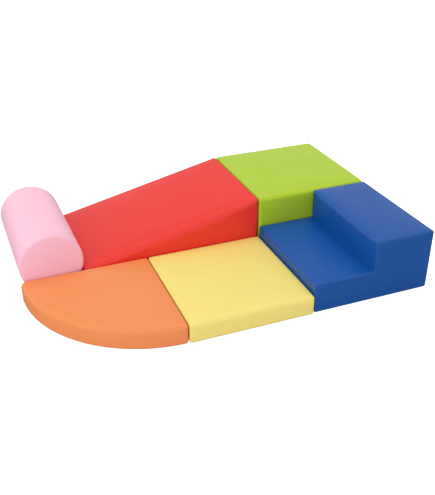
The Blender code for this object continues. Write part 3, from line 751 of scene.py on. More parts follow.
def ramp_block(sizes):
    """A wedge. Its height grows evenly from the toe to the high end."""
    low, high = node_box("ramp_wrap_panel", "ramp_front_end_panel", "ramp_back_end_panel")
    low[2], high[2] = 0, sizes.block_height
    toe, top = sizes.mat_thickness, sizes.block_height
    run = high[0] - low[0]
    lean = math.atan2(top - toe, run)
    place = zip_over_tape("ramp", "back_end_panel", (-1, 0, 0), (0, 1, 0), high[1])
    swell = SWELL["ramp"]

    def rise(x):
        return toe + (top - toe) * (x - low[0]) / run

    def rows(v, height):
        """Row v of the high end, carried to a lower height: only its middle rows draw together."""
        bottom, edge = RAMP_LOW_ROWS, RAMP_HIGH_ROWS
        middle_rows = bottom + (v - bottom) * (height - edge - bottom) / (top - edge - bottom)
        return np.where(v <= bottom, v, np.where(v >= top - edge, height - (top - v), middle_rows))

    def slope_face(u, v):
        return np.stack((u, v, rise(u)), axis=-1)

    def toe_face(u, v):
        return np.stack((np.full(u.shape, low[0]), u, rows(v, toe)), axis=-1)

    def end_face(y):
        return lambda u, v: np.stack((u, np.full(u.shape, y), rows(v, rise(u))), axis=-1)

    def form(p):
        x, y, z = np.moveaxis(p, -1, 0)
        crown = sizes.crown * share(x, low[0], high[0]) * share(y, low[1], high[1])
        slope = (z - rise(x)) * math.cos(lean) - crown
        ends = met(between(x, low[0], high[0]), slope, sizes.tight_rim)
        profile = met(ends, -z, sizes.base_rim)
        along = np.clip((x - low[0]) / run, 0, 1)
        soft = smooth(SOFT_AT_TOE + along / SOFT_GROWS) * smooth((SOFT_ENDS - along) / SOFT_FADES)
        soft = soft * smooth(SOFT_STAYS - (rise(x) - z) / SOFT_DEPTH)
        least = sizes.free_rim * LEAST_RIM
        front = least + (sizes.ramp_fold - least) * soft
        rim = np.where(y < (low[1] + high[1]) / 2, front, sizes.far_rim)
        rim = sizes.base_rim + (rim - sizes.base_rim) * smooth(z / RIM_HEIGHT)
        return met(profile, between(y, low[1], high[1]), rim)

    faces = [
        Face("wrap_panel", "x", "y", slope_face, "--ss", swell["slope"]),
        Face("wrap_panel", "y", "z", flat(0, high[0]), "sss-", swell["high_end"]),
        Face("wrap_panel", "y", "z", toe_face, "sss-", swell["toe"]),
        Face("front_end_panel", "x", "z", end_face(low[1]), "ssss", swell["front"]),
        Face("back_end_panel", "x", "z", end_face(high[1]), "ssss", swell["back"]),
        Face("base_panel", "x", "y", flat(2, 0), "ssss", 0),
    ]
    return {
        "name": "ramp",
        "form": form,
        "faces": faces,
        "lines": lambda coarse, opening: box_lines(low, high, place, coarse, opening),
        "zip": place,
    }


# Away from the step's end panels, its folds reach their radius over this distance
STEP_FOLD_REACH = 0.07


def step_block(sizes):
    """A block with one lower level. Its cover follows an L: tread, riser and top."""
    low, high = node_box("step_wrap_panel", "step_front_end_panel", "step_back_end_panel")
    low[2], high[2] = 0, sizes.block_height
    tread, edge = sizes.tread_height, low[0] + sizes.tread_depth
    place = zip_over_tape("step", "wrap_panel", (0, 1, 0), (1, 0, 0), high[0])
    swell = SWELL["step"]

    def form(p):
        x, y, z = np.moveaxis(p, -1, 0)
        deep = share(y, low[1], high[1])
        from_end = np.minimum(y - low[1], high[1] - y)
        whole = smooth(from_end / STEP_FOLD_REACH)
        fold = sizes.fold_at_end + (sizes.fold - sizes.fold_at_end) * whole
        lower = z - tread - sizes.crown * deep * share(x, low[0], edge) * (x < edge)
        upper = z - high[2] - sizes.crown * deep * share(x, edge, high[0]) * (x > edge)
        stairs = joined(lower, met(edge - x, upper, fold), sizes.inner_fold)
        sides = met(low[0] - x, stairs, fold)
        sides = met(sides, x - high[0], sizes.far_rim)
        profile = met(sides, -z, sizes.base_rim)
        return met(profile, between(y, low[1], high[1]), sizes.end_rim)

    def line_sets(coarse, opening):
        slots = slot_lines(place, opening)
        low_x, high_x = lines(low[0], edge, (), coarse), lines(edge, high[0], (), coarse)
        low_z, high_z = lines(0, tread, slots[2], coarse), lines(tread, high[2], (), coarse)
        return {
            "x": np.concatenate((low_x, high_x[1:])),
            "low_x": low_x,
            "high_x": high_x,
            "y": lines(low[1], high[1], slots[1], coarse),
            "low_z": low_z,
            "high_z": high_z,
        }

    faces = [
        Face("wrap_panel", "y", "low_z", flat(0, low[0]), "sss-", swell["left"]),
        Face("wrap_panel", "low_x", "y", flat(2, tread), "--ss", swell["tread"]),
        Face("wrap_panel", "y", "high_z", flat(0, edge), "ss--", swell["riser"]),
        Face("wrap_panel", "high_x", "y", flat(2, high[2]), "--ss", swell["top"]),
        Face("wrap_panel", "y", "low_z", flat(0, high[0]), "sss.", swell["right"]),
        Face("wrap_panel", "y", "high_z", flat(0, high[0]), "ss.-", swell["right"]),
        Face("base_panel", "x", "y", flat(2, 0), "ssss", 0),
    ]
    for side, y in (("front", low[1]), ("back", high[1])):
        panel = side + "_end_panel"
        faces += [
            Face(panel, "low_x", "low_z", flat(1, y), "s.ss", swell[side]),
            Face(panel, "high_x", "low_z", flat(1, y), ".ss.", swell[side]),
            Face(panel, "high_x", "high_z", flat(1, y), "ss.s", swell[side]),
        ]

    def seam_point(face, grid):
        """Distance from the inner corner of the L, for the end panels' faces that only touch it."""
        if not face.panel.endswith("end_panel"):
            return np.full(grid.shape[:2], NO_EDGE)
        return np.hypot(grid[..., 0] - edge, grid[..., 2] - tread)

    block = {"name": "step", "form": form, "faces": faces, "lines": line_sets, "zip": place}
    return {**block, "seam_point": seam_point, "box": (low, high), "edge": edge}


# Middle of the quarter mat's grid, measured from its square corner: where it starts and ends, and
# how far its left and front sides run straight before they slant to the place of its far corner
INNER_LOW, INNER_HIGH = 0.045, 0.455
INNER_STRAIGHT, INNER_ARC = 0.115, 0.32
# The part of the arc, in degrees, that lies opposite each straight stretch
ARC_STRAIGHT = 12
# The ring patches keep their true depth up to the first of these, and count up to the second
RING_NEAR, RING_DEPTH = 0.028, 0.045


def quarter_grid(corner, radius):
    """Grids on a quarter disc, from its square corner to the left and to the front.

    Its middle is four-sided, with straight rows across the zip. Four ring patches join its sides to
    the two straight sides and the two halves of the arc. s and t run from 0 to 1 along the sides.
    Returns the place of a point of the middle, of a patch and of the outline.
    """
    span = INNER_HIGH - INNER_LOW
    bend = (INNER_STRAIGHT - INNER_LOW) / span
    bend_angle = math.radians(ARC_STRAIGHT)

    def pair(a, b):
        return np.stack(np.broadcast_arrays(a, b), axis=-1)

    def left_side(t):
        past = np.clip((t - bend) / (1 - bend), 0, 1)
        a = INNER_HIGH + (INNER_ARC - INNER_HIGH) * past
        slanted = INNER_STRAIGHT + (INNER_ARC - INNER_STRAIGHT) * past
        return pair(a, np.where(t < bend, INNER_LOW + span * t, slanted))

    def middle(s, t):
        right = pair(np.full(t.shape, INNER_LOW), INNER_LOW + span * t)
        return right + (left_side(t) - right) * s[..., None]

    def arc(angle):
        return radius * pair(np.cos(angle), np.sin(angle))

    def outline(side, s):
        if side == "back":
            return pair(radius * s, 0.0)
        if side == "right":
            return pair(0.0, radius * s)
        if side == "front":
            return arc(math.pi / 2 - math.pi / 4 * s)
        past = np.clip((s - bend) / (1 - bend), 0, 1)
        return arc(bend_angle * np.minimum(s / bend, 1) + (math.pi / 4 - bend_angle) * past)

    def inner(side, s):
        if side == "left":
            return left_side(s)
        zero, one = np.zeros(s.shape), np.ones(s.shape)
        return middle(*{"back": (s, zero), "right": (zero, s), "front": (s, one)}[side])

    def patch(side, s, depth):
        """In from the outline by the true depth up to RING_NEAR, then evenly to the middle."""
        start, way = outline(side, s), inner(side, s) - outline(side, s)
        long = np.linalg.norm(way, axis=-1)
        rest = (depth - RING_NEAR) * (long - RING_NEAR) / (RING_DEPTH - RING_NEAR)
        deep = np.where(depth <= RING_NEAR, depth, RING_NEAR + rest)
        return start + way * (deep / long)[..., None]

    def at(flat_place, z):
        x = corner[0] - flat_place[..., 0]
        y = corner[1] - flat_place[..., 1]
        return np.stack(np.broadcast_arrays(x, y, z), axis=-1)

    def share_of(place):
        return (place - INNER_LOW) / span

    return {
        "middle": lambda z: lambda u, v: at(middle(share_of(u), share_of(v)), z),
        "patch": lambda side, z: lambda u, v: at(patch(side, share_of(u), v), z),
        "wall": lambda side: lambda u, v: at(outline(side, share_of(u)), v),
    }


def quarter_mat_block(sizes):
    """A quarter of a disc, with its square corner at the back right."""
    low, high = node_box("quarter_mat_side_band")
    corner = np.array((high[0], high[1]))
    radius = (high[0] - low[0] + high[1] - low[1]) / 2
    top = sizes.mat_thickness
    place = zip_over_tape("quarter_mat", "base_panel", (1, 0, 0), (0, 0, -1), 0)
    widest = radius * (math.sqrt(2) - 1)

    def full(gap):
        """The same rise in from an edge as share() gives."""
        return 1 - (1 - np.clip(gap / widest, 0, 1)) ** 4

    def form(p):
        x, y, z = np.moveaxis(p, -1, 0)
        a, b = x - corner[0], y - corner[1]
        disc = np.hypot(a, b) - radius
        tip = np.where(-a > radius / 2, sizes.left_tip, sizes.corner)
        walls = met(met(a, b, sizes.corner), disc, tip)
        rise = sizes.crown * full(-a) * full(-b) * full(-disc)
        rim = rim_of((sizes.tight_rim, sizes.tight_rim, sizes.free_rim), (-a, -b, -disc))
        return met(met(walls, z - top - rise, rim), -z, sizes.base_rim)

    def line_sets(coarse, opening):
        spread = INNER_LOW + (INNER_HIGH - INNER_LOW) * lines(0, radius, (), coarse) / radius
        slots = slot_lines(place, opening)
        across = [(corner[0] - end, corner[0] - start) for start, end in slots[0]]
        along = [(corner[1] - end, corner[1] - start) for start, end in slots[1]]
        near = NEAR_EDGE_COARSE if coarse else NEAR_EDGE
        ring = np.unique((*near, RING_NEAR, (RING_NEAR + RING_DEPTH) / 2, RING_DEPTH))
        return {
            "a": with_slots(spread, across),
            "b": with_slots(spread, along),
            "ring": ring,
            "z": lines(0, top, (), coarse),
        }

    grid = quarter_grid(corner, radius)
    swell = SWELL["quarter_mat"]
    sides = {
        "back": ("a", "--ss"),
        "right": ("b", "--ss"),
        "front": ("a", "-.ss"),
        "left": ("b", "-.ss"),
    }
    faces = []
    for panel, z, most in (("top_panel", top, swell["top"]), ("base_panel", 0.0, 0)):
        faces.append(Face(panel, "a", "b", grid["middle"](z), "....", most))
        for side, (along, _) in sides.items():
            faces.append(Face(panel, along, "ring", grid["patch"](side, z), "..s.", most))
    for side, (along, edges) in sides.items():
        faces.append(Face("side_band", along, "z", grid["wall"](side), edges, swell[side]))
    return {"name": "quarter_mat", "form": form, "faces": faces, "lines": line_sets, "zip": place}


def disc_spread(u, v):
    """Carries a square on to a disc: both values times the larger one, over their distance.

    A square ring so becomes a circle.
    """
    long = np.maximum(np.hypot(u, v), 1e-9)
    reach = np.maximum(np.abs(u), np.abs(v)) / long
    return u * reach, v * reach


def drum(axes, radius, length, crown, rim):
    """Form and faces of a lying cylinder whose ends stand out by crown in the middle.

    axes holds the middle of the cylinder and the directions across it, along it and up.
    """
    middle, turn = axes
    straight = length / 2 - crown

    def form(p):
        x, y, z = np.moveaxis((p - middle) @ turn, -1, 0)
        away = np.hypot(x, z)
        rise = crown * (1 - np.clip(away / radius, 0, 1) ** 4)
        return met(away - radius, np.abs(y) - straight - rise, rim)

    def at(across, along, up):
        return middle + np.stack(np.broadcast_arrays(across, along, up), axis=-1) @ turn.T

    def end(along):
        def place(u, v):
            across, up = disc_spread(u, v)
            return at(across, along, up)

        return place

    def side(fixed, value):
        def place(u, v):
            other = np.full(u.shape, value)
            across, up = disc_spread(other, u) if fixed == "u" else disc_spread(u, other)
            return at(across, v, up)

        return place

    faces = [
        Face("front_end_panel", "a", "a", end(-straight), "ssss", SWELL["roller"]["end"]),
        Face("back_end_panel", "a", "a", end(straight), "ssss", SWELL["roller"]["end"]),
    ]
    for fixed in "uv":
        for value in (-radius, radius):
            place = side(fixed, value)
            faces.append(Face("wrap_panel", "a", "y", place, "..ss", SWELL["roller"]["round"]))
    return form, faces


def roller_block(sizes):
    """A full cylinder that lies on the floor, turned from the rows as its rolling axis says."""
    low, high = node_box("roller_wrap_panel")
    radius = (high[2] - low[2]) / 2
    roll = next(joint for joint in frame["joints"] if joint["name"] == "roller_roll")
    along, up = -np.array(roll["axis"], float), np.array((0, 0, 1.0))
    across = np.cross(along, up)
    middle = np.array(roll["pos_m"], float)
    middle = middle - along * ((middle[1] - (low[1] + high[1]) / 2) / along[1])
    axes = middle, np.stack((across, along, up), axis=1)
    place = zip_at("wrap_panel", middle + radius * across, along, across, ROLLER_ZIP_LENGTH)
    form, faces = drum(axes, radius, sizes.roller_length, sizes.roller_crown, sizes.roller_rim)
    straight = sizes.roller_length / 2 - sizes.roller_crown

    def line_sets(coarse, opening):
        slots = ([], [])
        if opening:
            half = radius * math.tan(math.asin(opening[1] / 2 / radius))
            slots = [(-half, half)], [(-opening[0] / 2, opening[0] / 2)]
        return {
            "a": lines(-radius, radius, slots[0], coarse),
            "y": lines(-straight, straight, slots[1], coarse),
        }

    block = {"name": "roller", "form": form, "faces": faces, "lines": line_sets, "zip": place}
    return {**block, "axes": axes, "radius": radius}


# Zips

# The tape lies TAPE_FLOOR from the cover's face and reaches past both ends of the coil
TAPE_OVERLAP = 0.008
TAPE_THICKNESS = 0.0008
TAPE_WIDTH = 0.0186
TAPE_FLOOR = -0.0070
# Its rows of points lie about this far apart
TAPE_ROWS = 0.02
# Its section: half the width of the coil's bed, of the floor and of the mouth, how its corners are
# rounded, and the heights of the mouth, of the border beside it and of the tape's edge
BED_HALF, TRAY_HALF, MOUTH_HALF = 0.0027, 0.0052, 0.0062
CORNER_CUT, WALL_FOOT_OUT = 0.0006, 0.0003
MOUTH_HEIGHT, BORDER_HEIGHT, EDGE_HEIGHT = -0.0038, -0.0032, -0.0034
# The coil: one turn, the wire's radius, the height and width over both halves, and how far each
# half reaches over the middle line
COIL_PITCH = 0.0026
COIL_WIRE = 0.00034
COIL_HEIGHT = 0.0012
COIL_WIDTH = 0.0050
COIL_REACH = 0.25 * MM
# Its wire is drawn with this many points to a turn, and this many sides
COIL_POINTS, COIL_SIDES = 10, 6
ROLLER_ZIP_LENGTH = 0.400


def zip_matrix(place):
    """Turn and origin of a zip's own axes, which are x along the coil and z out of the face."""
    across = np.cross(place["out"], place["along"])
    return np.stack((place["along"], across, place["out"]), axis=1), place["origin"]


def tube(line, radius, sides, start_up):
    """A round tube along a line of points: at each point, a ring square to the line's direction."""
    direction = np.gradient(line, axis=0)
    direction /= np.linalg.norm(direction, axis=1, keepdims=True)
    first = np.cross(direction, start_up)
    first /= np.linalg.norm(first, axis=1, keepdims=True)
    second = np.cross(direction, first)
    turn = np.arange(sides) * 2 * np.pi / sides
    ring_x, ring_y = np.cos(turn)[None, :, None], np.sin(turn)[None, :, None]
    points = line[:, None] + radius * (ring_x * first[:, None] + ring_y * second[:, None])
    numbers = np.arange(len(line) * sides).reshape(len(line), sides)
    after = np.roll(numbers, -1, axis=1)
    quads = np.stack((numbers[:-1], after[:-1], after[1:], numbers[1:]), axis=-1).reshape(-1, 4)
    return points.reshape(-1, 3), quads


def coil(length, side):
    """Half of a zip's coil: a flattened helix of wire, whose turns reach over the middle line.

    x grows evenly with the angle, y goes by its cosine and z by its sine.
    """
    turns = int(length / COIL_PITCH)
    t = np.arange(turns * COIL_POINTS + 1) / COIL_POINTS
    angle = 2 * np.pi * t
    half = COIL_WIDTH / 4 + COIL_REACH
    x = (t - turns / 2) * COIL_PITCH + side * COIL_PITCH / 4
    y = side * (COIL_WIDTH / 2 - half + half * np.cos(angle) - COIL_WIRE)
    lift = (COIL_HEIGHT / 2 - COIL_WIRE) * np.sin(angle)
    z = TAPE_FLOOR + COIL_HEIGHT / 2 + lift
    return tube(np.stack((x, y, z), axis=1), COIL_WIRE, COIL_SIDES, np.array((1.0, 0, 0)))


def tape_sheet(length):
    """The zip's woven tape as a tray: floor, two leaning walls and two borders under the cover.

    The section is a line of points across; each point has a partner below it by the thickness.
    """
    half = np.array(
        (
            (0.0, TAPE_FLOOR),
            (BED_HALF, TAPE_FLOOR),
            (TRAY_HALF - CORNER_CUT, TAPE_FLOOR),
            (TRAY_HALF + WALL_FOOT_OUT, TAPE_FLOOR + CORNER_CUT),
            (MOUTH_HALF, MOUTH_HEIGHT),
            (MOUTH_HALF + CORNER_CUT, BORDER_HEIGHT),
            (TAPE_WIDTH / 2, EDGE_HEIGHT),
        )
    )
    section = np.concatenate((half[:0:-1] * (-1, 1), half))
    slopes = np.gradient(section, axis=0)
    below = np.stack((slopes[:, 1], -slopes[:, 0]), axis=1)
    below /= np.linalg.norm(below, axis=1, keepdims=True)
    under = section + below * TAPE_THICKNESS
    loop = np.concatenate((section, under[::-1]))
    rows = np.linspace(-length / 2, length / 2, max(2, round(length / TAPE_ROWS)))
    points = np.zeros((len(rows), len(loop), 3))
    points[..., 0] = rows[:, None]
    points[..., 1:] = loop[None]
    numbers = np.arange(points[..., 0].size).reshape(points.shape[:2])
    after = np.roll(numbers, -1, axis=1)
    quads = np.stack((numbers[:-1], numbers[1:], after[1:], after[:-1]), axis=-1).reshape(-1, 4)
    count = len(section)
    pairs = np.arange(count - 1)
    ends = []
    for row, turned in ((0, False), (len(rows) - 1, True)):
        top, low = numbers[row, :count], numbers[row, count:][::-1]
        cap = np.stack((top[pairs], top[pairs + 1], low[pairs + 1], low[pairs]), axis=1)
        ends.append(cap[:, ::-1] if turned else cap)
    return points.reshape(-1, 3), np.concatenate((quads, *ends))


def make_zip(block):
    """Tape with both halves of the coil, in place of the solid tape."""
    name, place = block["name"], block["zip"]
    turn, origin = zip_matrix(place)
    points, quads = tape_sheet(place["length"] + 2 * TAPE_OVERLAP)
    woven = materials()[name + "_zip"]
    tape = new_object(f"{name}_zip_tape_cloth", points @ turn.T + origin, quads, woven)
    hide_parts(f"{name}_zip_tape")
    (left, left_quads), (right, right_quads) = (
        coil(place["length"] - 2 * MM, side) for side in (-1, 1)
    )
    points = np.concatenate((left, right)) @ turn.T + origin
    quads = np.concatenate((left_quads, right_quads + len(left)))
    teeth = new_object(f"{name}_zip_coil", points, quads, materials()["coil"])
    for piece in (tape, teeth):
        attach(piece, name)


# Materials


def node(tree, kind, links=None, **settings):
    """Adds a shader node. links gives its inputs: a value is set, and an output is linked."""
    made = tree.nodes.new("ShaderNode" + kind)
    for key, value in settings.items():
        setattr(made, key, value)
    for key, value in (links or {}).items():
        if isinstance(value, bpy.types.NodeSocket):
            tree.links.new(value, made.inputs[key])
        else:
            made.inputs[key].default_value = value
    return made


def start_material(name):
    """An empty material, its tree and the Object coordinates in it."""
    made = bpy.data.materials.new(name)
    made.use_nodes = True
    tree = made.node_tree
    tree.nodes.clear()
    return made, tree, node(tree, "TexCoord").outputs["Object"]


def finish_material(tree, colour, rough, relief=None, **inputs):
    """The shader. relief holds the height, strength and depth in metres of its bump."""
    links = {"Base Color": colour, "Roughness": rough, **inputs}
    if relief:
        height, strength, depth = relief
        bump = node(tree, "Bump", {"Height": height, "Strength": strength, "Distance": depth})
        links["Normal"] = bump.outputs[0]
    shader = node(tree, "BsdfPrincipled", links)
    node(tree, "OutputMaterial", {"Surface": shader.outputs[0]})


def toned(base, factor):
    """A colour with red, green and blue times a factor."""
    return (*(np.array(base[:3]) * factor), 1.0)


def faux_leather(name, base, gloss):
    """Polyurethane on knitted cloth, pressed with a fine pebble grain and left satin.

    Real pebbles are under 1 mm; they are drawn at 2.4 mm, because finer ones don't show. Folds are
    rubbed a little paler and carry a painted highlight; seams and inner corners hold a little dust and
    painted shade, so they are darker.
    """
    made, tree, place = start_material(name)
    pebbles = node(
        tree, "TexVoronoi", {"Vector": place, "Scale": 1 / 0.0024, "Randomness": 0.9}
    ).outputs["Distance"]
    wide = node(
        tree, "TexNoise", {"Vector": place, "Scale": 9.0, "Detail": 3.0, "Roughness": 0.55}
    ).outputs["Fac"]
    fold = node(tree, "Attribute", attribute_name="fold").outputs["Fac"]
    seam = node(tree, "Attribute", attribute_name="seam").outputs["Fac"]
    pale = (*(np.array(base[:3]) + (1 - np.array(base[:3])) * 0.10), 1.0)
    cloud = node(tree, "MapRange", {"Value": wide, "From Min": 0.35, "From Max": 0.65})
    body = node(
        tree,
        "Mix",
        {"Factor": cloud.outputs[0], 6: toned(base, 1.0), 7: toned(base, 0.98)},
        data_type="RGBA",
    )
    # Outer folds turn a little paler: wear, and a painted highlight
    wear_and_highlight_share = node(tree, "Math", {0: fold, 1: 0.05}, operation="MULTIPLY")
    wear_and_highlight = node(
        tree,
        "Mix",
        {"Factor": wear_and_highlight_share.outputs[0], 6: body.outputs[2], 7: pale},
        data_type="RGBA",
    )
    # Seams and inner corners turn darker: dust, and painted shade
    dust_and_shade_share = node(tree, "Math", {0: seam, 1: 0.4}, operation="MULTIPLY")
    dust_and_shade = node(
        tree,
        "Mix",
        {"Factor": dust_and_shade_share.outputs[0], 6: wear_and_highlight.outputs[2], 7: toned(base, 0.80)},
        data_type="RGBA",
    )
    rough = node(
        tree,
        "MapRange",
        {"Value": wide, "From Min": 0.3, "From Max": 0.7, "To Min": 0.42, "To Max": 0.48},
    )
    grain = node(
        tree,
        "MapRange",
        {"Value": pebbles, "From Min": 0.0, "From Max": 0.6, "To Min": 1.0, "To Max": 0.0},
    )
    relief = grain.outputs[0], 0.35, 0.00018
    shine = {"Specular IOR Level": gloss}
    finish_material(tree, dust_and_shade.outputs[2], rough.outputs[0], relief, **shine)
    return made


def base_cloth(name, base):
    """Woven polyester with rows of soft vinyl dots that grip the floor, 7 mm apart.

    The threads, finer on a real one, are drawn 1.6 mm apart, so that they show.
    """
    made, tree, place = start_material(name)
    dots = node(tree, "TexVoronoi", {"Vector": place, "Scale": 1 / 0.007, "Randomness": 0.0})
    weave = node(tree, "TexVoronoi", {"Vector": place, "Scale": 1 / 0.0016, "Randomness": 0.25})
    far, apart = dots.outputs["Distance"], weave.outputs["Distance"]
    dot = node(
        tree,
        "MapRange",
        {"Value": far, "From Min": 0.24, "From Max": 0.32, "To Min": 1.0, "To Max": 0.0},
    ).outputs[0]
    threads = node(
        tree,
        "MapRange",
        {"Value": apart, "From Min": 0.1, "From Max": 0.6, "To Min": 0.35, "To Max": 0.0},
    ).outputs[0]
    height = node(tree, "Math", {0: dot, 1: threads}, operation="MAXIMUM")
    tinted = node(
        tree, "Mix", {"Factor": dot, 6: toned(base, 1.0), 7: toned(base, 0.45)}, data_type="RGBA"
    )
    rough = node(tree, "MapRange", {"Value": dot, "To Min": 0.92, "To Max": 0.55})
    relief = height.outputs[0], 0.7, 0.0005
    finish_material(tree, tinted.outputs[2], rough.outputs[0], relief)
    return made


def cut_foam(name, base):
    """Open cell polyurethane foam as the blade leaves it: round pores, matte all over.

    The pores are drawn 2 mm apart, coarser than real ones, so that they show.
    """
    made, tree, place = start_material(name)
    pores = node(tree, "TexVoronoi", {"Vector": place, "Scale": 1 / 0.002, "Randomness": 1.0})
    shade = node(
        tree, "MapRange", {"Value": pores.outputs["Distance"], "From Min": 0.05, "From Max": 0.45}
    ).outputs[0]
    tinted = node(
        tree, "Mix", {"Factor": shade, 6: toned(base, 0.62), 7: toned(base, 1.0)}, data_type="RGBA"
    )
    rough = node(tree, "MapRange", {"Value": shade, "To Min": 1.0, "To Max": 0.9})
    finish_material(tree, tinted.outputs[2], rough.outputs[0], (shade, 0.8, 0.0006))
    return made


def woven_tape(name, base, thread, height):
    """Tightly woven polyester tape: threads up and down, drawn coarse enough to show."""
    made, tree, place = start_material(name)
    weave = node(tree, "TexVoronoi", {"Vector": place, "Scale": 1 / thread, "Randomness": 0.15})
    apart = weave.outputs["Distance"]
    threads = node(
        tree,
        "MapRange",
        {"Value": apart, "From Min": 0.1, "From Max": 0.65, "To Min": 1.0, "To Max": 0.0},
    ).outputs[0]
    tinted = node(
        tree,
        "Mix",
        {"Factor": threads, 6: toned(base, 0.55), 7: toned(base, 1.0)},
        data_type="RGBA",
    )
    rough = node(tree, "MapRange", {"Value": threads, "To Min": 0.95, "To Max": 0.7})
    finish_material(tree, tinted.outputs[2], rough.outputs[0], (threads, 0.8, height))
    return made


def nickel(name):
    """Zinc casting with bright nickel plate, dulled by handling."""
    made, tree, place = start_material(name)
    marks = node(tree, "TexNoise", {"Vector": place, "Scale": 260.0, "Detail": 4.0}).outputs["Fac"]
    rough = node(
        tree,
        "MapRange",
        {"Value": marks, "From Min": 0.3, "From Max": 0.7, "To Min": 0.2, "To Max": 0.38},
    )
    tone = node(
        tree, "Mix", {"Factor": marks, 6: linear("B9B8B2"), 7: linear("CFCEC9")}, data_type="RGBA"
    )
    finish_material(tree, tone.outputs[2], rough.outputs[0], (marks, 0.2, 0.0001), Metallic=1.0)
    return made


def nylon_wire(name):
    """Monofilament of the coil: smooth, slightly clear nylon, dyed like thread."""
    made, tree, place = start_material(name)
    dye = node(tree, "TexNoise", {"Vector": place, "Scale": 400.0, "Detail": 1.0}).outputs["Fac"]
    tone = node(
        tree, "Mix", {"Factor": dye, 6: linear("D9D8D2"), 7: linear("F1F0EA")}, data_type="RGBA"
    )
    rough = node(tree, "MapRange", {"Value": dye, "To Min": 0.25, "To Max": 0.4})
    finish_material(tree, tone.outputs[2], rough.outputs[0])
    return made


_materials = {}


def materials():
    """Every finish of the set, made once."""
    if _materials:
        return _materials
    colours = bpy.context.scene.play_block_colours
    for name in BLOCKS:
        base = tuple(getattr(colours, name))
        _materials[name] = faux_leather(COVER_FINISH[name], base, COVER_GLOSS[name])
        zip_name = name + "_zip"
        _materials[zip_name] = woven_tape(zip_name + "_tape_polyester", base, 0.0009, 0.0002)
    _materials["base"] = base_cloth("non_slip_base_cloth", tuple(colours.base))
    _materials["foam"] = cut_foam("open_cell_foam", tuple(colours.foam))
    tape = tuple(colours.tape)
    _materials["hook"] = woven_tape("hook_tape_nylon", tape, 0.0018, 0.0008)
    _materials["loop"] = woven_tape("loop_tape_nylon", tape, 0.0012, 0.0006)
    _materials["nickel"] = nickel("nickel_plated_zinc")
    _materials["coil"] = nylon_wire("nylon_coil")
    return _materials


def give(part, finish):
    """Gives a carried-over solid part its finish."""
    for entry in frame["nodes"][part].material_slots:
        entry.material = finish


# Operators


class BlockOperator:
    """Makes one block: its cover panels, its zip and its foam. shape works out its form."""

    bl_options = {"REGISTER", "UNDO"}

    def execute(self, context):
        sizes = context.scene.play_block_sizes
        block = self.shape(sizes)
        sew_cover(block, sizes)
        make_zip(block)
        self.fill(block, sizes)
        return {"FINISHED"}

    def fill(self, block, sizes):
        """One foam core that has the cover's own form, drawn in."""
        name, zip_place = block["name"] + "_foam_core", block["zip"]
        sets = block["lines"](False, channel(zip_place))
        cut_core(name, inset(block["form"]), block["faces"], sets, zip_place)


class PLAYBLOCKS_OT_platform(bpy.types.Operator, BlockOperator):
    """Sews the green platform's cover over its foam and closes it with a zip"""

    bl_idname = "playblocks.platform"
    bl_label = "Platform"
    shape = staticmethod(platform_block)


class PLAYBLOCKS_OT_ramp(bpy.types.Operator, BlockOperator):
    """Sews the red ramp's cover over its foam wedge and closes it with a zip"""

    bl_idname = "playblocks.ramp"
    bl_label = "Ramp"
    shape = staticmethod(ramp_block)


class PLAYBLOCKS_OT_step(bpy.types.Operator, BlockOperator):
    """Sews the blue step's cover over its two foam blocks and closes it with a zip"""

    bl_idname = "playblocks.step"
    bl_label = "Step"
    shape = staticmethod(step_block)

    def fill(self, block, sizes):
        """Two foam blocks glued together where the tread ends, GLUE_LINE apart."""
        low, high = block["box"]
        glue, tread, form = block["edge"] + CORE_INSET, sizes.tread_height, inset(block["form"])

        def low_form(p):
            under = met(form(p), p[..., 2] - tread + CORE_INSET, GLUED_EDGE)
            return met(under, p[..., 0] - glue + GLUE_LINE / 2, GLUED_EDGE)

        def high_form(p):
            return met(form(p), glue + GLUE_LINE / 2 - p[..., 0], GLUED_EDGE)

        parts = (
            ("step_low_foam_core", low_form, low, np.array((glue, high[1], tread))),
            ("step_high_foam_core", high_form, np.array((glue, low[1], 0)), high),
        )
        for name, part_form, start, end in parts:
            sets = box_lines(start, end, block["zip"], False, channel(block["zip"]))
            cut_core(name, part_form, box_faces(start, end, NO_SWELL), sets, block["zip"])


class PLAYBLOCKS_OT_square_mat(bpy.types.Operator, BlockOperator):
    """Sews the yellow square mat's cover over its foam and closes it with a zip"""

    bl_idname = "playblocks.square_mat"
    bl_label = "Square mat"
    shape = staticmethod(square_mat_block)


class PLAYBLOCKS_OT_quarter_mat(bpy.types.Operator, BlockOperator):
    """Sews the orange quarter-circle mat's cover over its foam and closes it with a zip"""

    bl_idname = "playblocks.quarter_mat"
    bl_label = "Quarter mat"
    shape = staticmethod(quarter_mat_block)


# Rims of the roller's two foams, the gap between them, and the angle that a channel wall takes up
OUTER_RIM, INNER_RIM, BORE_GAP = 0.011, 0.002, 0.0004
CHANNEL_WALL_ANGLE = 0.006
# The last two rows of points before the channel's ends
BEFORE_CHANNEL = (2 * MM, 0.6 * MM)
# Rows of points: around a rim, beside the channel, along it, along the bore, across the channel
# and around the rest of the tube
RIM_ROWS, SIDE_ROWS, CHANNEL_ROWS, BORE_ROWS, ACROSS_ROWS, ROUND_ROWS = 5, 4, 32, 30, 7, 68


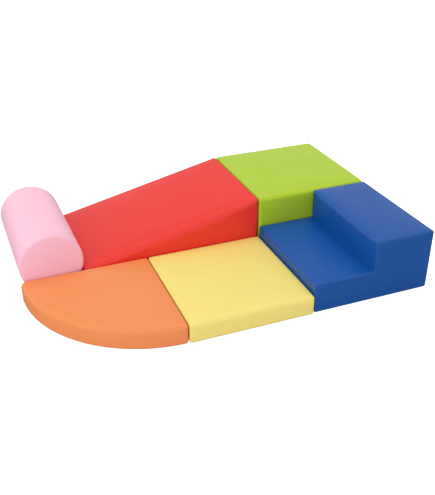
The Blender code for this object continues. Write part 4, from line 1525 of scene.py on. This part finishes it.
class PLAYBLOCKS_OT_roller(bpy.types.Operator, BlockOperator):
    """Sews the pink roller's cover over its foam, which turns about a firmer round core"""

    bl_idname = "playblocks.roller"
    bl_label = "Roller"
    shape = staticmethod(roller_block)

    def fill(self, block, sizes):
        """A round core with crowned ends, and the outer foam around it."""
        low, high = node_box("roller_inner_foam_core")
        bore = (high[2] - low[2]) / 2
        straight = sizes.roller_length - 2 * CORE_INSET
        form, faces = drum(block["axes"], bore, straight, sizes.roller_crown, INNER_RIM)
        half = straight / 2 - sizes.roller_crown
        sets = {"a": lines(-bore, bore), "y": lines(-half, half)}
        cut_core("roller_inner_foam_core", form, faces, sets, block["zip"])
        self.outer_foam(block, bore + BORE_GAP, straight - 2 * sizes.roller_crown)

    def outer_foam(self, block, bore, long):
        """A tube of foam: one closed section, bore, end, rim and outside, turned about the axis."""
        middle, turn = block["axes"]
        outside, rim = block["radius"] - CORE_INSET, OUTER_RIM
        start, end = -long / 2, long / 2
        quarter = np.linspace(0, np.pi / 2, RIM_ROWS)
        sine, cosine = rim * np.sin(quarter), rim * np.cos(quarter)
        front_rim = np.stack((outside - rim + sine, start + rim - cosine), axis=1)
        back_rim = np.stack((outside - rim + cosine, end - rim + sine), axis=1)
        half_long = channel(block["zip"])[0] / 2
        beside = np.linspace(start + rim, -half_long - BEFORE_CHANNEL[0], SIDE_ROWS)[1:]
        first = np.concatenate((beside, [-half_long - BEFORE_CHANNEL[1]]))
        inside_channel = np.linspace(-half_long, half_long, CHANNEL_ROWS)
        along = np.concatenate((first, inside_channel, -first[::-1]))
        side = np.stack((np.full(len(along), outside), along), axis=1)
        inside = np.stack((np.full(BORE_ROWS, bore), np.linspace(end, start, BORE_ROWS)), axis=1)
        section = np.concatenate((front_rim, side, back_rim, inside))
        half_channel = math.asin(CHANNEL_WIDTH / 2 / outside)
        open_angle = half_channel + CHANNEL_WALL_ANGLE
        rest = np.linspace(open_angle, 2 * np.pi - open_angle, ROUND_ROWS)
        across = np.linspace(-half_channel, half_channel, ACROSS_ROWS)
        r, y = section[:, 0][None], section[:, 1][None]
        a = np.concatenate((across, rest))[:, None]
        over_zip = (np.abs(y) <= half_long + 1e-9) & (np.abs(a) <= half_channel + 1e-9)
        over_zip = over_zip & (r > outside - 1e-6)
        reach = np.where(over_zip, (outside - CHANNEL_DEPTH) / np.maximum(np.cos(a), 0.5), r)
        y = np.broadcast_to(y, reach.shape)
        local = np.stack((reach * np.cos(a), y, reach * np.sin(a)), -1)
        numbers = np.arange(local[..., 0].size).reshape(local.shape[:2])
        right, up = np.roll(numbers, -1, axis=0), np.roll(numbers, -1, axis=1)
        both = np.roll(right, -1, axis=1)
        quads = np.stack((numbers, up, both, right), axis=-1).reshape(-1, 4)
        points = middle + local.reshape(-1, 3) @ turn.T
        return foam_piece("roller_outer_foam_core", points, quads)


class PLAYBLOCKS_OT_metal(bpy.types.Operator):
    """Gives every zip slider and pull its nickel plate"""

    bl_idname = "playblocks.metal"
    bl_label = "Zip sliders and pulls"

    def execute(self, context):
        for name in BLOCKS:
            for part in ("slider", "pull"):
                give(f"{name}_zip_{part}", materials()["nickel"])
        return {"FINISHED"}


class PLAYBLOCKS_OT_strips(bpy.types.Operator):
    """Gives the hook and loop strips between the blocks their weave"""

    bl_idname = "playblocks.strips"
    bl_label = "Hook and loop strips"

    def execute(self, context):
        for part in frame["nodes"]:
            for kind in ("hook", "loop"):
                if f"_{kind}_strip_" in part:
                    give(part, materials()[kind])
        return {"FINISHED"}


# The camera's place and its right and up directions
CAMERA_PLACE = (-0.86987, -2.36410, 1.49618)
CAMERA_RIGHT = (0.92968, -0.36838, -0.00254)
CAMERA_UP = (0.18308, 0.45606, 0.87091)
CAMERA_LENS_MM, SENSOR_MM = 50.64, 36.0
SEES_UP_TO = 60.0
# The paper lies a little under the blocks
FLOOR_HALF = 12.0
FLOOR_HEIGHT = -0.0005
FLOOR_GLOW = 0.85
# The room is bright up to WALL_FOOT, as a share of the way up, and at its top from WALL_TOP on
ROOM_LIGHT, WALL_LIGHT = 0.45, 1.15
WALL_FOOT, WALL_TOP = 0.22, 0.55
# Name, place, side in metres and power in watts
SOFTBOXES = (
    ("top_softbox", (0.0, 0.0, 4.0), 5.0, 98.0),
    ("left_softbox", (-3.6, -1.8, 2.4), 2.4, 45.0),
)


class PLAYBLOCKS_OT_stage(bpy.types.Operator):
    """Sets up the white floor, the soft studio light and the camera"""

    bl_idname = "playblocks.stage"
    bl_label = "Stage"

    def execute(self, context):
        scene = context.scene
        self.floor()
        self.lights(scene)
        self.camera(scene)
        scene.view_settings.view_transform = "Standard"
        scene.view_settings.look = "None"
        return {"FINISHED"}

    def floor(self):
        """White paper. To the camera it also glows, so that it is white beside the blocks too.

        The covers mirror it darker than it is, so that their sides keep their own colour.
        """
        made, tree, place = start_material("white_paper_floor")
        grain = node(tree, "TexNoise", {"Vector": place, "Scale": 3.0}).outputs["Fac"]
        tone = node(
            tree,
            "Mix",
            {"Factor": grain, 6: linear("ECECEC"), 7: linear("F0F0F0")},
            data_type="RGBA",
        )
        paper = node(tree, "BsdfDiffuse", {"Color": tone.outputs[2]}).outputs[0]
        dim = node(tree, "BsdfDiffuse", {"Color": linear("606060")}).outputs[0]
        glow = node(tree, "Emission", {"Strength": FLOOR_GLOW}).outputs[0]
        both = node(tree, "AddShader", {0: paper, 1: glow}).outputs[0]
        ray = node(tree, "LightPath").outputs
        mirrored = node(tree, "MixShader", {0: ray["Is Glossy Ray"], 1: paper, 2: dim}).outputs[0]
        mixed = node(tree, "MixShader", {0: ray["Is Camera Ray"], 1: mirrored, 2: both})
        node(tree, "OutputMaterial", {"Surface": mixed.outputs[0]})
        corners = np.array([(-1, -1, 0), (1, -1, 0), (1, 1, 0), (-1, 1, 0)], float) * FLOOR_HALF
        corners[:, 2] = FLOOR_HEIGHT
        floor = new_object("floor", corners, np.array([[0, 1, 2, 3]]), made)

    def lights(self, scene):
        """A wide softbox overhead and one at the left, in a room with bright walls.

        To the camera the room is plain white.
        """
        world = bpy.data.worlds.new("studio")
        scene.world = world
        world.use_nodes = True
        tree = world.node_tree
        tree.nodes.clear()
        seen = node(tree, "LightPath").outputs["Is Camera Ray"]
        way = node(tree, "SeparateXYZ", {0: node(tree, "TexCoord").outputs["Generated"]})
        walls = node(
            tree,
            "MapRange",
            {
                "Value": way.outputs["Z"],
                "From Min": WALL_FOOT,
                "From Max": WALL_TOP,
                "To Min": WALL_LIGHT,
                "To Max": ROOM_LIGHT,
            },
            interpolation_type="SMOOTHSTEP",
        )
        strength = node(
            tree, "Mix", {"Factor": seen, 2: walls.outputs[0], 3: 1.0}, data_type="FLOAT"
        )
        sky = node(tree, "Background", {"Color": (1, 1, 1, 1), "Strength": strength.outputs[0]})
        node(tree, "OutputWorld", {"Surface": sky.outputs[0]})
        for name, place, size, power in SOFTBOXES:
            light = bpy.data.lights.new(name, "AREA")
            light.shape = "SQUARE"
            light.size = size
            light.energy = power
            lamp = bpy.data.objects.new(name, light)
            lamp.matrix_world = self.facing(place)
            lamp.visible_glossy = False
            scene.collection.objects.link(lamp)

    def facing(self, place):
        """A matrix at place whose -Z looks at the middle of the set."""
        back = np.array(place) / np.linalg.norm(place)
        right = np.cross((0, 1, 0), back)
        right /= np.linalg.norm(right)
        up = np.cross(back, right)
        return place_matrix(right, up, back, place)

    def camera(self, scene):
        data = bpy.data.cameras.new("camera")
        data.lens = CAMERA_LENS_MM
        data.sensor_width = SENSOR_MM
        data.clip_end = SEES_UP_TO
        camera = bpy.data.objects.new("camera", data)
        right, up = np.array(CAMERA_RIGHT), np.array(CAMERA_UP)
        camera.matrix_world = place_matrix(right, up, np.cross(right, up), CAMERA_PLACE)
        scene.collection.objects.link(camera)
        scene.camera = camera


def place_matrix(right, up, back, place):
    rows = [[right[i], up[i], back[i], place[i]] for i in range(3)]
    return Matrix((*rows, (0, 0, 0, 1)))


class PLAYBLOCKS_PT_panel(bpy.types.Panel):
    """Lists what can be made, with the sizes and colours"""

    bl_idname = "PLAYBLOCKS_PT_panel"
    bl_label = "Play Blocks"
    bl_space_type = "VIEW_3D"
    bl_region_type = "UI"
    bl_category = "Play Blocks"

    def draw(self, context):
        layout = self.layout
        for group in (context.scene.play_block_sizes, context.scene.play_block_colours):
            box = layout.box()
            for name in group.__annotations__:
                box.prop(group, name)
        for operator in OPERATORS:
            layout.operator(operator.bl_idname)


OPERATORS = (
    PLAYBLOCKS_OT_platform,
    PLAYBLOCKS_OT_ramp,
    PLAYBLOCKS_OT_step,
    PLAYBLOCKS_OT_square_mat,
    PLAYBLOCKS_OT_quarter_mat,
    PLAYBLOCKS_OT_roller,
    PLAYBLOCKS_OT_metal,
    PLAYBLOCKS_OT_strips,
    PLAYBLOCKS_OT_stage,
)
CLASSES = (PlayBlockSizes, PlayBlockColours, *OPERATORS, PLAYBLOCKS_PT_panel)


def register():
    for made in CLASSES:
        bpy.utils.register_class(made)
    bpy.types.Scene.play_block_sizes = bpy.props.PointerProperty(type=PlayBlockSizes)
    bpy.types.Scene.play_block_colours = bpy.props.PointerProperty(type=PlayBlockColours)


def unregister():
    del bpy.types.Scene.play_block_colours
    del bpy.types.Scene.play_block_sizes
    for made in reversed(CLASSES):
        bpy.utils.unregister_class(made)


def main():
    """Makes the whole set."""
    register()
    for operator in OPERATORS:
        section, call = operator.bl_idname.split(".")
        getattr(getattr(bpy.ops, section), call)()


if __name__ == "__main__":
    main()
